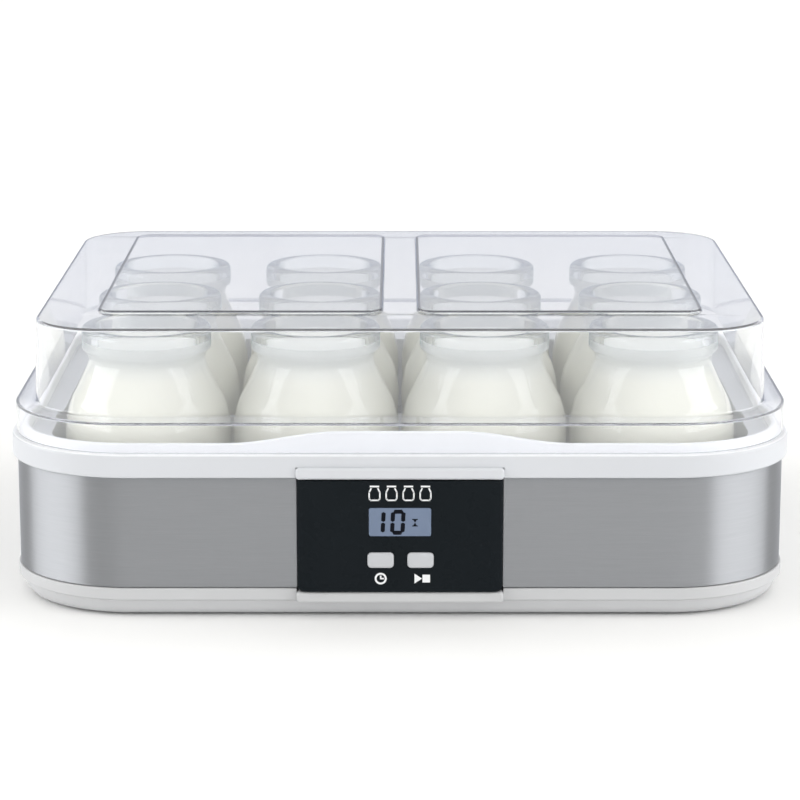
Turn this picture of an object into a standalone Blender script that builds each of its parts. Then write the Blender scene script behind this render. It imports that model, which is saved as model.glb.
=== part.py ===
"""A twelve-jar yogurt maker: a warming base with a control panel, its jars, and a clear lift-off lid.

Units are metres, +Z is up, the object rests on Z = 0 and its control panel faces -Y.
"""

import math

import bmesh
import bpy
from mathutils import Matrix

# Driving dimensions of the base, measured at the outer face of the steel band.
HALF_WIDTH = 0.1638
HALF_DEPTH = 0.1350
CORNER_RADIUS = 0.0510
CORNER_STEPS = 6
GAP = 0.0003
WALL = 0.0024

# Heights of the layers, from the worktop up.
COVER_BOTTOM = 0.0010
COVER_BELT = 0.0080
COVER_TOP = 0.0132
BAND_BOTTOM = COVER_TOP + GAP
BAND_TOP = 0.0604
RIM_BOTTOM = BAND_TOP + GAP
RIM_TOP = 0.0705
LIP_TOP = 0.0744
LIP_CREST = 0.0797
FLANGE_BOTTOM = 0.0295
FLANGE_TOP = 0.0319
TRAY_TOP = 0.0352
DECK_BOTTOM = 0.0665
DECK_TOP = 0.0690
LEDGE_TOP = 0.0848
LEDGE_DROP = 0.0011
LID_TOP = 0.1210

# Radial steps, inward from the outer face of the band.
SOFT_EDGE = 0.0004
BAND_THICKNESS = 0.0009
RIM_PROUD = 0.0022
COVER_PROUD = 0.0008
SKIRT_PROUD = 0.0002
LIP_INSET = 0.0027
LEDGE_WIDTH = 0.0094

# The well that the jars stand in.
WELL_HALF_WIDTH = 0.1490
WELL_HALF_DEPTH = 0.1130
WELL_RADIUS = 0.0300
FLANGE_WIDTH = 0.0080

# The lip's raised stretch behind the panel: half its flat top, and half its whole length.
CREST_FLAT = 0.0250
CREST_END = 0.0700
CREST_STEPS = 8

# Heating, under the jars.
SEAT_RADIUS = 0.0290
SEAT_DEPTH = 0.0012
HEATER_HALF_WIDTH = 0.1080
HEATER_HALF_DEPTH = 0.0720
HEATER_TURN = 0.0240
HEATER_RADIUS = 0.0022
SHIELD_BOTTOM = 0.0236
SHIELD_SHEET = 0.0008
SHIELD_INSET = 0.0160
CAPSULE_RADIUS = 0.0020

# Lid.
LID_WALL = 0.0022
LID_RADIUS = 0.0310
LID_DRAFT = 0.0010
LID_EDGE = 0.0030
PLATEAU_HEIGHT = 0.0012
PLATEAU_FRONT = -0.0905
PLATEAU_BACK = 0.1070
PLATEAU_SPAN = 0.1283
PLATEAU_GAP = 0.0150
PLATEAU_RADIUS = 0.0075
PLATEAU_ROOT = 0.0008
PLATEAU_BEVEL = 0.0005

# Jars, four across and three deep.
COLUMNS = 4
ROWS = 3
COLUMN_PITCH = 0.0726
ROW_PITCH = 0.0738
JAR_STEPS = 16
JAR_BOTTOM = 0.0343
JAR_HEIGHT = 0.0783
JAR_FLOOR = 0.0040
JAR_RADIUS = 0.0356
NECK_RADIUS = 0.0246
LIP_RADIUS = 0.0278
MOUTH_RADIUS = 0.0212
YOGURT_LEVEL = 0.0722

# Control panel, centred on the front.
PANEL_HALF_WIDTH = 0.0431
PANEL_BOTTOM = 0.0077
PANEL_TOP = 0.0655
PANEL_FRONT = -0.1388
PANEL_BACK = -0.1330
FASCIA_HALF_WIDTH = 0.0426
FASCIA_BOTTOM = 0.0127
FASCIA_TOP = 0.0601
FASCIA_FRONT = -0.1394
FASCIA_PLATE = 0.0024
SCREEN_HALF_WIDTH = 0.0132
SCREEN_BOTTOM = 0.0364
SCREEN_TOP = 0.0491
FASCIA_WALL = 0.0020
SCREEN_SETBACK = 0.0003
MODULE_HALF_WIDTH = 0.0170
MODULE_MARGIN = 0.0030
WINDOW_HALF_WIDTH = 0.0400
WINDOW_TOP = 0.0570
BACKING = -0.1290
BOARD_FRONT = -0.1280
BOARD_THICKNESS = 0.0016
CONTROL_BOARD_HALF_WIDTH = 0.0370
CONTROL_BOARD_BOTTOM = 0.0185
CONTROL_BOARD_TOP = 0.0550
BUTTON_WIDTH = 0.0109
BUTTON_HEIGHT = 0.0066
BUTTON_LEVEL = 0.0265
BUTTON_PROUD = 0.0006
BUTTONS = {"time": -0.0080, "start_stop": 0.0085}
STEM_RADIUS = 0.0014
STEM_END = BOARD_FRONT - 0.0049
SWITCH_HALF_SIZE = 0.0030
SWITCH_FRONT = BOARD_FRONT - 0.0035
SWITCH_BORE = 0.0020
PLUNGER_RADIUS = 0.0016
PLUNGER_END = BOARD_FRONT - 0.0020

# Power board, on posts of the bottom cover.
POWER_BOARD_BOTTOM = 0.0090
POWER_BOARD_TOP = 0.0106
POST_RADIUS = 0.0030
POST_ROWS = (0.0280, 0.0820)
POST_COLUMNS = (-0.0520, 0.0120)

# Ribbon cable between the two boards.
RIBBON_LEFT = -0.0080
RIBBON_WIDTH = 0.0120
RIBBON_THICKNESS = 0.0008
RIBBON_LEVEL = 0.0116
RIBBON_BEND = 0.0034
RIBBON_TOP = 0.0300
RIBBON_END = 0.0300

# Fasteners, feet and the cord entry.
SCREW_X = 0.0950
SCREW_Y = 0.1190
SCREW_POST_RADIUS = 0.0042
SCREW_POST_BOTTOM = 0.0085
SCREW_POST_TOP = 0.0601
SCREW_HEAD_RADIUS = 0.0032
SCREW_HEAD_BOTTOM = 0.0029
SCREW_HEAD_TOP = 0.0047
SHANK_RADIUS = 0.0013
SHANK_TOP = 0.0200
PILOT_RADIUS = 0.0017
CLEARANCE_RADIUS = 0.0018
SINK_RADIUS = 0.0036
SINK_TOP = 0.0050
BOSS_RADIUS = 0.0056
BOSS_TOP = 0.0082
FOOT_X = 0.1260
FOOT_Y = 0.0960
FOOT_RADIUS = 0.0090
FOOT_HEIGHT = 0.0027
FOOT_BEVEL = 0.0006
GLAND_X = -0.0900
GLAND_LEVEL = 0.0260
GLAND_END = BUTTON_PROUD - FASCIA_FRONT
GLAND_FLANGE_RADIUS = 0.0088
GLAND_RADIUS = 0.0060
GLAND_BORE = 0.0034
GLAND_DEPTH = 0.0065
PAST = 0.0100

# Colour, metallic, roughness of each material.
MATERIALS = {
    "white_plastic": ((0.84, 0.85, 0.87), 0.0, 0.35),
    "grey_plastic": ((0.56, 0.58, 0.60), 0.0, 0.40),
    "black_plastic": ((0.012, 0.015, 0.018), 0.0, 0.25),
    "brushed_steel": ((0.52, 0.53, 0.55), 1.0, 0.35),
    "clear_plastic": ((0.92, 0.94, 0.97), 0.0, 0.05),
    "jar_glass": ((0.86, 0.92, 0.90), 0.0, 0.03),
    "yogurt": ((0.88, 0.88, 0.85), 0.0, 0.45),
    "screen_glass": ((0.16, 0.22, 0.32), 0.0, 0.12),
    "aluminium": ((0.78, 0.79, 0.80), 1.0, 0.40),
    "heater_sleeve": ((0.45, 0.10, 0.06), 0.0, 0.60),
    "circuit_board": ((0.02, 0.16, 0.07), 0.0, 0.45),
    "relay_blue": ((0.03, 0.12, 0.40), 0.0, 0.40),
    "ribbon_grey": ((0.45, 0.46, 0.48), 0.0, 0.55),
    "rubber": ((0.10, 0.10, 0.10), 0.0, 0.80),
    "screw_steel": ((0.60, 0.60, 0.60), 1.0, 0.30),
}


def clear_scene():
    for obj in list(bpy.data.objects):
        bpy.data.objects.remove(obj, do_unlink=True)


def material(name):
    made = bpy.data.materials.get(name)
    if made:
        return made
    colour, metallic, roughness = MATERIALS[name]
    made = bpy.data.materials.new(name)
    made.use_nodes = True
    shader = made.node_tree.nodes["Principled BSDF"]
    shader.inputs["Base Color"].default_value = (*colour, 1.0)
    shader.inputs["Metallic"].default_value = metallic
    shader.inputs["Roughness"].default_value = roughness
    made.diffuse_color = (*colour, 1.0)
    return made


def add_object(name, shape, finish):
    """A bmesh made into an object, with its faces turned outwards."""
    bmesh.ops.recalc_face_normals(shape, faces=shape.faces[:])
    mesh = bpy.data.meshes.new(name)
    shape.to_mesh(mesh)
    shape.free()
    mesh.materials.append(material(finish))
    obj = bpy.data.objects.new(name, mesh)
    bpy.context.scene.collection.objects.link(obj)
    return obj


def outline(half_width, half_depth, radius, z):
    """The points of a rounded rectangle, counter-clockwise from the right."""
    corners = ((1, 1), (-1, 1), (-1, -1), (1, -1))
    points = []
    for turn, (side_x, side_y) in enumerate(corners):
        centre_x = side_x * (half_width - radius)
        centre_y = side_y * (half_depth - radius)
        for step in range(CORNER_STEPS + 1):
            angle = math.pi / 2 * (turn + step / CORNER_STEPS)
            x = centre_x + radius * math.cos(angle)
            y = centre_y + radius * math.sin(angle)
            points.append((x, y, z))
    return points


def base_outline(inset, z):
    """The base's outline, moved inward by the inset."""
    return outline(HALF_WIDTH - inset, HALF_DEPTH - inset, CORNER_RADIUS - inset, z)


def well_outline(outset, z):
    return outline(WELL_HALF_WIDTH + outset, WELL_HALF_DEPTH + outset, WELL_RADIUS + outset, z)


def loft(name, outlines, finish, ring=False):
    """A skin through a stack of outlines, capped at both ends or closed into a ring."""
    shape = bmesh.new()
    loops = [[shape.verts.new(point) for point in points] for points in outlines]
    count = len(loops[0])
    pairs = list(zip(loops, loops[1:]))
    if ring:
        pairs.append((loops[-1], loops[0]))
    for lower, upper in pairs:
        for i in range(count):
            j = (i + 1) % count
            shape.faces.new((lower[i], lower[j], upper[j], upper[i]))
    if not ring:
        shape.faces.new(loops[0])
        shape.faces.new(loops[-1])
    return add_object(name, shape, finish)


def box(name, low, high, finish, bevel=0.0):
    shape = bmesh.new()
    size = [b - a for a, b in zip(low, high)]
    centre = [(a + b) / 2 for a, b in zip(low, high)]
    bmesh.ops.create_cube(shape, size=1.0)
    bmesh.ops.scale(shape, vec=size, verts=shape.verts)
    obj = add_object(name, shape, finish)
    obj.location = centre
    if bevel:
        add_bevel(obj, bevel)
    return obj


def cylinder(name, centre, radius, length, finish, axis="Z", steps=20, bevel=0.0):
    shape = bmesh.new()
    bmesh.ops.create_cone(
        shape, cap_ends=True, segments=steps, radius1=radius, radius2=radius, depth=length
    )
    if axis == "X":
        bmesh.ops.rotate(shape, matrix=Matrix.Rotation(math.pi / 2, 3, "Y"), verts=shape.verts)
    if axis == "Y":
        bmesh.ops.rotate(shape, matrix=Matrix.Rotation(math.pi / 2, 3, "X"), verts=shape.verts)
    obj = add_object(name, shape, finish)
    obj.location = centre
    if bevel:
        add_bevel(obj, bevel)
    return obj


def lathe(name, profile, finish, steps):
    """A closed solid turned about Z from (radius, height) points that start and end on the axis."""
    shape = bmesh.new()
    verts = [shape.verts.new((radius, 0, z)) for radius, z in profile]
    edges = [shape.edges.new(pair) for pair in zip(verts, verts[1:])]
    bmesh.ops.spin(
        shape, geom=verts + edges, cent=(0, 0, 0), axis=(0, 0, 1), angle=2 * math.pi, steps=steps
    )
    bmesh.ops.remove_doubles(shape, verts=shape.verts, dist=0.00002)
    return add_object(name, shape, finish)


def add_bevel(obj, width):
    bevel = obj.modifiers.new("soft_edges", "BEVEL")
    bevel.width = width
    bevel.segments = 1
    bevel.limit_method = "ANGLE"
    bevel.angle_limit = math.radians(40)


def combine(obj, helpers, operation):
    """A Boolean with each helper, which is then hidden."""
    for helper in helpers:
        helper.hide_render = True
        helper.display_type = "WIRE"
        step = obj.modifiers.new(helper.name, "BOOLEAN")
        step.operation = operation
        step.solver = "EXACT"
        step.object = helper
    return obj


def cut(obj, *helpers):
    return combine(obj, helpers, "DIFFERENCE")


def join(obj, *helpers):
    return combine(obj, helpers, "UNION")


def screw_places():
    return [(side_x * SCREW_X, side_y * SCREW_Y) for side_y in (-1, 1) for side_x in (-1, 1)]


def foot_places():
    return [(side_x * FOOT_X, side_y * FOOT_Y) for side_y in (-1, 1) for side_x in (-1, 1)]


def upright(name, place, radius, bottom, top, finish, steps=12, bevel=0.0):
    """A vertical cylinder between two heights."""
    centre = (*place, (bottom + top) / 2)
    return cylinder(name, centre, radius, top - bottom, finish, "Z", steps, bevel)


def entry_bore(name):
    """A cutter through the back for the cord gland."""
    centre = (GLAND_X, HALF_DEPTH, GLAND_LEVEL)
    return cylinder(name, centre, GLAND_RADIUS + GAP, 2 * PAST, "rubber", "Y")


def jar_places():
    """The jars' centres, from the front left to the back right."""
    columns = [(column - (COLUMNS - 1) / 2) * COLUMN_PITCH for column in range(COLUMNS)]
    rows = [(row - (ROWS - 1) / 2) * ROW_PITCH for row in range(ROWS)]
    return [(x, y) for y in rows for x in columns]


def panel_notch(name, half_width, low_z, high_z, back):
    """A cutter that makes room for a piece of the control panel."""
    low = (-half_width - GAP, -HALF_DEPTH - 2 * PAST, low_z)
    high = (half_width + GAP, back, high_z)
    return box(name, low, high, "white_plastic")


def lip_crest():
    """The raised stretch of the inner lip behind the control panel, as an S-curve each side."""
    rise = LIP_CREST - LIP_TOP
    right = []
    for step in range(CREST_STEPS + 1):
        part = step / CREST_STEPS
        height = LIP_TOP - SOFT_EDGE / 2 + rise * (1 + math.cos(math.pi * part)) / 2
        right.append((CREST_FLAT + (CREST_END - CREST_FLAT) * part, height))
    top = [(-x, z) for x, z in reversed(right)] + right
    foot = (RIM_TOP + LIP_TOP) / 2
    section = [(-CREST_END, foot)] + top + [(CREST_END, foot)]
    front = -HALF_DEPTH + LIP_INSET
    return extrude("lip_crest", [(x, front, z) for x, z in section], (0, WALL, 0), "white_plastic")


def extrude(name, section, along, finish):
    """A flat section drawn out in a straight line."""
    shape = bmesh.new()
    face = shape.faces.new([shape.verts.new(point) for point in section])
    grown = bmesh.ops.extrude_face_region(shape, geom=[face])
    moved = [item for item in grown["geom"] if isinstance(item, bmesh.types.BMVert)]
    bmesh.ops.translate(shape, vec=along, verts=moved)
    return add_object(name, shape, finish)


def make_base_housing():
    """Outer wall, rim, lip and the double-walled well, as one moulding."""
    wall_inset = BAND_THICKNESS + GAP
    lip_inner = LIP_INSET + WALL
    outlines = [
        base_outline(wall_inset, BAND_BOTTOM),
        base_outline(wall_inset, RIM_BOTTOM),
        base_outline(-RIM_PROUD + SOFT_EDGE, RIM_BOTTOM),
        base_outline(-RIM_PROUD, RIM_BOTTOM + SOFT_EDGE),
        base_outline(-RIM_PROUD, RIM_TOP - 2 * SOFT_EDGE),
        base_outline(-RIM_PROUD + 2 * SOFT_EDGE, RIM_TOP),
        base_outline(LIP_INSET, RIM_TOP),
        base_outline(LIP_INSET, LIP_TOP - SOFT_EDGE),
        base_outline(LIP_INSET + SOFT_EDGE, LIP_TOP),
        base_outline(lip_inner - SOFT_EDGE, LIP_TOP),
        base_outline(lip_inner, LIP_TOP - SOFT_EDGE),
        base_outline(lip_inner, DECK_TOP),
        well_outline(0.0, DECK_TOP),
        well_outline(0.0, FLANGE_TOP),
        well_outline(-FLANGE_WIDTH, FLANGE_TOP),
        well_outline(-FLANGE_WIDTH, FLANGE_BOTTOM),
        well_outline(WALL, FLANGE_BOTTOM),
        well_outline(WALL, DECK_BOTTOM),
        base_outline(wall_inset + WALL, DECK_BOTTOM),
        base_outline(wall_inset + WALL, BAND_BOTTOM),
    ]
    housing = loft("base_housing", outlines, "white_plastic", ring=True)
    join(housing, lip_crest())
    for number, place in enumerate(screw_places(), 1):
        low, high = SCREW_POST_BOTTOM, SCREW_POST_TOP
        post = upright(f"post_{number}", place, SCREW_POST_RADIUS, low, high, "white_plastic", 10)
        low, high = SCREW_POST_BOTTOM - GAP, SHANK_TOP + 4 * PILOT_RADIUS
        pilot = upright(f"pilot_{number}", place, PILOT_RADIUS, low, high, "white_plastic", 8)
        join(housing, post)
        cut(housing, pilot)
    notch = panel_notch("housing_notch", PANEL_HALF_WIDTH, 0.0, PANEL_TOP + GAP, PANEL_BACK + GAP)
    window_low = (-WINDOW_HALF_WIDTH, -HALF_DEPTH - PAST, 0.0)
    window = box("housing_window", window_low, (WINDOW_HALF_WIDTH, BACKING, WINDOW_TOP), "white_plastic")
    return cut(housing, notch, window, entry_bore("housing_entry"))


def make_steel_band():
    outlines = [
        base_outline(0.0, BAND_BOTTOM),
        base_outline(0.0, BAND_TOP),
        base_outline(BAND_THICKNESS, BAND_TOP),
        base_outline(BAND_THICKNESS, BAND_BOTTOM),
    ]
    band = loft("steel_band", outlines, "brushed_steel", ring=True)
    notch = panel_notch("band_notch", FASCIA_HALF_WIDTH, 0.0, LID_TOP, -HALF_DEPTH + 2 * PAST)
    return cut(band, notch, entry_bore("band_entry"))


def make_bottom_cover():
    """The tray that closes the base from below, with a belt that shows under the steel band."""
    upstand = BAND_THICKNESS + GAP + WALL + GAP
    outlines = [
        base_outline(0.0062, COVER_BOTTOM),
        base_outline(0.0044, COVER_BOTTOM + SOFT_EDGE),
        base_outline(0.0024, COVER_BOTTOM + WALL),
        base_outline(0.0010, COVER_BELT - SOFT_EDGE),
        base_outline(-COVER_PROUD, COVER_BELT),
        base_outline(-COVER_PROUD, COVER_TOP - SOFT_EDGE),
        base_outline(-COVER_PROUD + SOFT_EDGE, COVER_TOP),
        base_outline(upstand, COVER_TOP),
        base_outline(upstand, COVER_TOP + 0.0040),
        base_outline(upstand + 0.0018, COVER_TOP + 0.0040),
        base_outline(upstand + 0.0018, COVER_BELT),
        base_outline(0.0125, COVER_BOTTOM + WALL),
    ]
    cover = loft("bottom_cover", outlines, "grey_plastic")
    floor = COVER_BOTTOM + 2 * WALL / 3
    for number, place in enumerate(screw_places(), 1):
        join(cover, upright(f"boss_{number}", place, BOSS_RADIUS, floor, BOSS_TOP, "grey_plastic"))
        cut(cover, upright(f"sink_{number}", place, SINK_RADIUS, -GAP, SINK_TOP, "grey_plastic"))
        low, high = COVER_BOTTOM, COVER_TOP
        cut(cover, upright(f"hole_{number}", place, CLEARANCE_RADIUS, low, high, "grey_plastic", 8))
    for number, place in enumerate(foot_places(), 1):
        cut(cover, upright(f"seat_{number}", place, FOOT_RADIUS + GAP, -GAP, FOOT_HEIGHT + GAP, "rubber", 16))
    for number, place in enumerate(board_posts(), 1):
        top = POWER_BOARD_BOTTOM - GAP
        join(cover, upright(f"stand_{number}", place, POST_RADIUS, floor, top, "grey_plastic"))
    return cut(cover, panel_notch("cover_notch", PANEL_HALF_WIDTH, PANEL_BOTTOM - GAP, BAND_TOP, BACKING))


def board_posts():
    return [(x, y) for y in POST_ROWS for x in POST_COLUMNS]


def make_lid():
    """A clear cover: a skirt, a ledge all round, a box above it and two plateaus on top."""
    foot = LEDGE_WIDTH
    top = foot + LID_DRAFT

    def box_outline(inset, z):
        return outline(HALF_WIDTH - inset, HALF_DEPTH - inset, LID_RADIUS + foot - inset, z)

    def edge(inset, z, radius, steps):
        """The quarter round between the box's wall and its top."""
        turns = [math.pi / 2 * step / steps for step in range(steps + 1)]
        return [
            box_outline(inset + radius * (1 - math.cos(turn)), z - radius * (1 - math.sin(turn)))
            for turn in turns
        ]

    skirt = -SKIRT_PROUD
    shoulder = LEDGE_TOP - LEDGE_DROP
    inner_edge = edge(top + LID_WALL, LID_TOP - LID_WALL, LID_EDGE - LID_WALL, 2)
    outlines = inner_edge[::-1] + [
        box_outline(foot + LID_WALL, LEDGE_TOP - LID_WALL),
        base_outline(skirt + LID_WALL, shoulder - LID_WALL),
        base_outline(skirt + LID_WALL, RIM_TOP + GAP),
        base_outline(skirt, RIM_TOP + GAP),
        base_outline(skirt, shoulder - 4 * SOFT_EDGE),
        base_outline(skirt + SOFT_EDGE, shoulder - SOFT_EDGE),
        base_outline(skirt + 4 * SOFT_EDGE, shoulder),
        box_outline(foot - 3 * SOFT_EDGE, LEDGE_TOP),
        box_outline(foot, LEDGE_TOP + 3 * SOFT_EDGE),
    ]
    lid = loft("lid", outlines + edge(top, LID_TOP, LID_EDGE, 3), "clear_plastic")
    for name, side in (("left", -1), ("right", 1)):
        join(lid, plateau(name, side))
    return lid


def plateau(name, side):
    """One of the two low raised panels on top of the lid."""
    half_width = (PLATEAU_SPAN - PLATEAU_GAP / 2) / 2
    half_depth = (PLATEAU_BACK - PLATEAU_FRONT) / 2
    crown = LID_TOP + PLATEAU_HEIGHT
    inset = PLATEAU_BEVEL
    outlines = [
        outline(half_width, half_depth, PLATEAU_RADIUS, LID_TOP - PLATEAU_ROOT),
        outline(half_width, half_depth, PLATEAU_RADIUS, crown - inset),
        outline(half_width - inset, half_depth - inset, PLATEAU_RADIUS - inset, crown),
    ]
    panel = loft(f"plateau_{name}", outlines, "clear_plastic")
    panel.location.x = side * (PLATEAU_GAP / 2 + half_width)
    panel.location.y = (PLATEAU_FRONT + PLATEAU_BACK) / 2
    return panel


def jar_outside():
    """(radius, height) down the outside of a jar, from the top of its lip to its foot."""
    top = JAR_HEIGHT
    return [
        (LIP_RADIUS - 0.0022, top),
        (LIP_RADIUS, top - 0.0030),
        (LIP_RADIUS - 0.0004, top - 0.0092),
        (NECK_RADIUS, top - 0.0115),
        (NECK_RADIUS + 0.0016, top - 0.0178),
        (JAR_RADIUS - 0.0056, top - 0.0258),
        (JAR_RADIUS - 0.0023, top - 0.0325),
        (JAR_RADIUS - 0.0004, top - 0.0400),
        (JAR_RADIUS, top - 0.0480),
        (JAR_RADIUS - 0.0012, 0.0170),
        (JAR_RADIUS - 0.0044, 0.0050),
        (JAR_RADIUS - 0.0100, 0.0),
    ]


def jar_inside():
    """(radius, height) up the inside of a jar, from its floor to its lip."""
    top = JAR_HEIGHT
    return [
        (JAR_RADIUS - 0.0110, JAR_FLOOR),
        (JAR_RADIUS - 0.0056, 0.0100),
        (JAR_RADIUS - 0.0027, top - 0.0430),
        (JAR_RADIUS - 0.0046, top - 0.0340),
        (JAR_RADIUS - 0.0080, top - 0.0270),
        (NECK_RADIUS, top - 0.0200),
        (MOUTH_RADIUS, top - 0.0145),
        (LIP_RADIUS - 0.0042, top),
    ]


def yogurt_profile():
    """(radius, height) of the fill, just clear of the glass, up to the neck."""
    (floor_radius, floor), *walls = [(radius - GAP, z) for radius, z in jar_inside()[:-1]]
    top = [(MOUTH_RADIUS - GAP, YOGURT_LEVEL - 0.0010), (MOUTH_RADIUS - 0.0014, YOGURT_LEVEL)]
    return [(0, floor + GAP), (floor_radius, floor + GAP)] + walls + top + [(0, YOGURT_LEVEL)]


def make_jars():
    glass = [(0, 0)] + jar_outside()[::-1] + jar_inside()[::-1] + [(0, JAR_FLOOR)]
    for number, place in enumerate(jar_places(), 1):
        jar = lathe(f"jar_{number:02d}", glass, "jar_glass", JAR_STEPS)
        yogurt = lathe(f"yogurt_{number:02d}", yogurt_profile(), "yogurt", JAR_STEPS)
        jar.location = yogurt.location = (*place, JAR_BOTTOM)


def make_heating():
    """The tray under the jars and what warms it."""
    tray_outlines = [well_outline(-GAP, FLANGE_TOP + GAP), well_outline(-GAP, TRAY_TOP)]
    tray = loft("heating_tray", tray_outlines, "aluminium")
    for number, place in enumerate(jar_places(), 1):
        low, high = TRAY_TOP - SEAT_DEPTH, TRAY_TOP + SEAT_DEPTH
        cut(tray, upright(f"jar_seat_{number}", place, SEAT_RADIUS, low, high, "aluminium"))
    path = bpy.data.curves.new("heating_element", "CURVE")
    path.dimensions = "3D"
    path.bevel_depth = HEATER_RADIUS
    path.bevel_resolution = 1
    spline = path.splines.new("POLY")
    level = FLANGE_TOP - HEATER_RADIUS
    points = outline(HEATER_HALF_WIDTH, HEATER_HALF_DEPTH, HEATER_TURN, level)
    spline.points.add(len(points) - 1)
    for point, place in zip(spline.points, points):
        point.co = (*place, 1.0)
    spline.use_cyclic_u = True
    path.materials.append(material("heater_sleeve"))
    bpy.context.scene.collection.objects.link(bpy.data.objects.new("heating_element", path))
    shield_top = FLANGE_BOTTOM - GAP
    inner = SHIELD_INSET + SHIELD_SHEET
    shield_outlines = [
        well_outline(-SHIELD_INSET, SHIELD_BOTTOM),
        well_outline(-SHIELD_INSET, shield_top - SHIELD_SHEET),
        well_outline(-0.0010, shield_top - SHIELD_SHEET),
        well_outline(-0.0010, shield_top),
        well_outline(-inner, shield_top),
        well_outline(-inner, SHIELD_BOTTOM + SHIELD_SHEET),
    ]
    loft("heat_shield", shield_outlines, "aluminium")
    level = FLANGE_TOP - CAPSULE_RADIUS
    cylinder("thermal_fuse", (0.0, 0.0200, level), CAPSULE_RADIUS, 0.0110, "white_plastic", "X", 12)
    sensor_place = (0.0300, -ROW_PITCH / 2, level)
    cylinder("temperature_sensor", sensor_place, CAPSULE_RADIUS, 0.0070, "black_plastic", "X", 12)


def make_power_board():
    low, high = (-0.0600, 0.0200, POWER_BOARD_BOTTOM), (0.0200, 0.0900, POWER_BOARD_TOP)
    box("power_board", low, high, "circuit_board")
    seat = POWER_BOARD_TOP + GAP
    box("relay", (-0.0500, 0.0340, seat), (-0.0310, 0.0500, 0.0215), "relay_blue", 0.0005)
    box("transformer", (-0.0200, 0.0560, seat), (0.0060, 0.0800, 0.0222), "black_plastic", 0.0008)
    upright("capacitor", (-0.0400, 0.0720), 0.0050, seat, 0.0211, "black_plastic", 20, 0.0005)


def make_panel():
    """Two white trim strips, the black fascia between them, and the display and board behind."""
    strips = {"upper": (FASCIA_TOP + GAP, PANEL_TOP), "lower": (PANEL_BOTTOM, FASCIA_BOTTOM - GAP)}
    for name, (bottom, top) in strips.items():
        strip_low = (-PANEL_HALF_WIDTH, PANEL_FRONT, bottom)
        strip_high = (PANEL_HALF_WIDTH, PANEL_BACK, top)
        box(f"panel_trim_{name}", strip_low, strip_high, "white_plastic", 0.0007)

    low = (-FASCIA_HALF_WIDTH, FASCIA_FRONT, FASCIA_BOTTOM)
    high = (FASCIA_HALF_WIDTH, PANEL_BACK, FASCIA_TOP)
    fascia = box("control_fascia", low, high, "black_plastic", 0.0008)
    plate_back = FASCIA_FRONT + FASCIA_PLATE
    hollow_low = (-FASCIA_HALF_WIDTH + FASCIA_WALL, plate_back, FASCIA_BOTTOM + FASCIA_WALL)
    hollow_high = (FASCIA_HALF_WIDTH - FASCIA_WALL, PANEL_BACK + PAST, FASCIA_TOP - FASCIA_WALL)
    hollow = box("fascia_hollow", hollow_low, hollow_high, "black_plastic")
    screen_low = (-SCREEN_HALF_WIDTH, FASCIA_FRONT - PAST, SCREEN_BOTTOM)
    screen_high = (SCREEN_HALF_WIDTH, plate_back + GAP, SCREEN_TOP)
    cut(fascia, hollow, box("screen_opening", screen_low, screen_high, "black_plastic"))

    window_low = (-SCREEN_HALF_WIDTH + GAP, FASCIA_FRONT + SCREEN_SETBACK, SCREEN_BOTTOM + GAP)
    window_high = (SCREEN_HALF_WIDTH - GAP, plate_back, SCREEN_TOP - GAP)
    box("lcd_window", window_low, window_high, "screen_glass")
    module_low = (-MODULE_HALF_WIDTH, plate_back + GAP, SCREEN_BOTTOM - MODULE_MARGIN)
    module_high = (MODULE_HALF_WIDTH, BOARD_FRONT - GAP, SCREEN_TOP + MODULE_MARGIN)
    box("lcd_module", module_low, module_high, "grey_plastic")
    board_back = BOARD_FRONT + BOARD_THICKNESS
    board_low = (-CONTROL_BOARD_HALF_WIDTH, BOARD_FRONT, CONTROL_BOARD_BOTTOM)
    board_high = (CONTROL_BOARD_HALF_WIDTH, board_back, CONTROL_BOARD_TOP)
    box("control_board", board_low, board_high, "circuit_board")
    for name, x in BUTTONS.items():
        make_button(fascia, name, x, plate_back)
    make_ribbon_cable(board_back)


def make_button(fascia, name, x, plate_back):
    """One key: its cap and stem, the switch behind it and the switch's plunger."""
    half_width = BUTTON_WIDTH / 2
    half_height = BUTTON_HEIGHT / 2
    front = FASCIA_FRONT - BUTTON_PROUD
    hole_low = (x - half_width - GAP, front - PAST, BUTTON_LEVEL - half_height - GAP)
    hole_high = (x + half_width + GAP, plate_back + GAP, BUTTON_LEVEL + half_height + GAP)
    cut(fascia, box(f"{name}_opening", hole_low, hole_high, "black_plastic"))
    cap_low = (x - half_width, front, BUTTON_LEVEL - half_height)
    cap_high = (x + half_width, plate_back + SOFT_EDGE, BUTTON_LEVEL + half_height)
    cap = box(f"{name}_button", cap_low, cap_high, "grey_plastic", SOFT_EDGE)
    join(cap, rod_along_y(f"{name}_stem", x, STEM_RADIUS, front + FASCIA_PLATE / 2, STEM_END, "grey_plastic"))
    switch_low = (x - SWITCH_HALF_SIZE, SWITCH_FRONT, BUTTON_LEVEL - SWITCH_HALF_SIZE)
    switch_high = (x + SWITCH_HALF_SIZE, BOARD_FRONT - GAP, BUTTON_LEVEL + SWITCH_HALF_SIZE)
    switch = box(f"{name}_switch", switch_low, switch_high, "black_plastic")
    bore_end = PLUNGER_END + 3 * GAP
    cut(switch, rod_along_y(f"{name}_bore", x, SWITCH_BORE, STEM_END, bore_end, "black_plastic"))
    rod_along_y(f"{name}_plunger", x, PLUNGER_RADIUS, STEM_END + GAP, PLUNGER_END, "white_plastic")


def rod_along_y(name, x, radius, front, back, finish):
    """A cylinder at the keys' height, from one depth to another."""
    centre = (x, (front + back) / 2, BUTTON_LEVEL)
    return cylinder(name, centre, radius, back - front, finish, "Y", 12)


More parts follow.
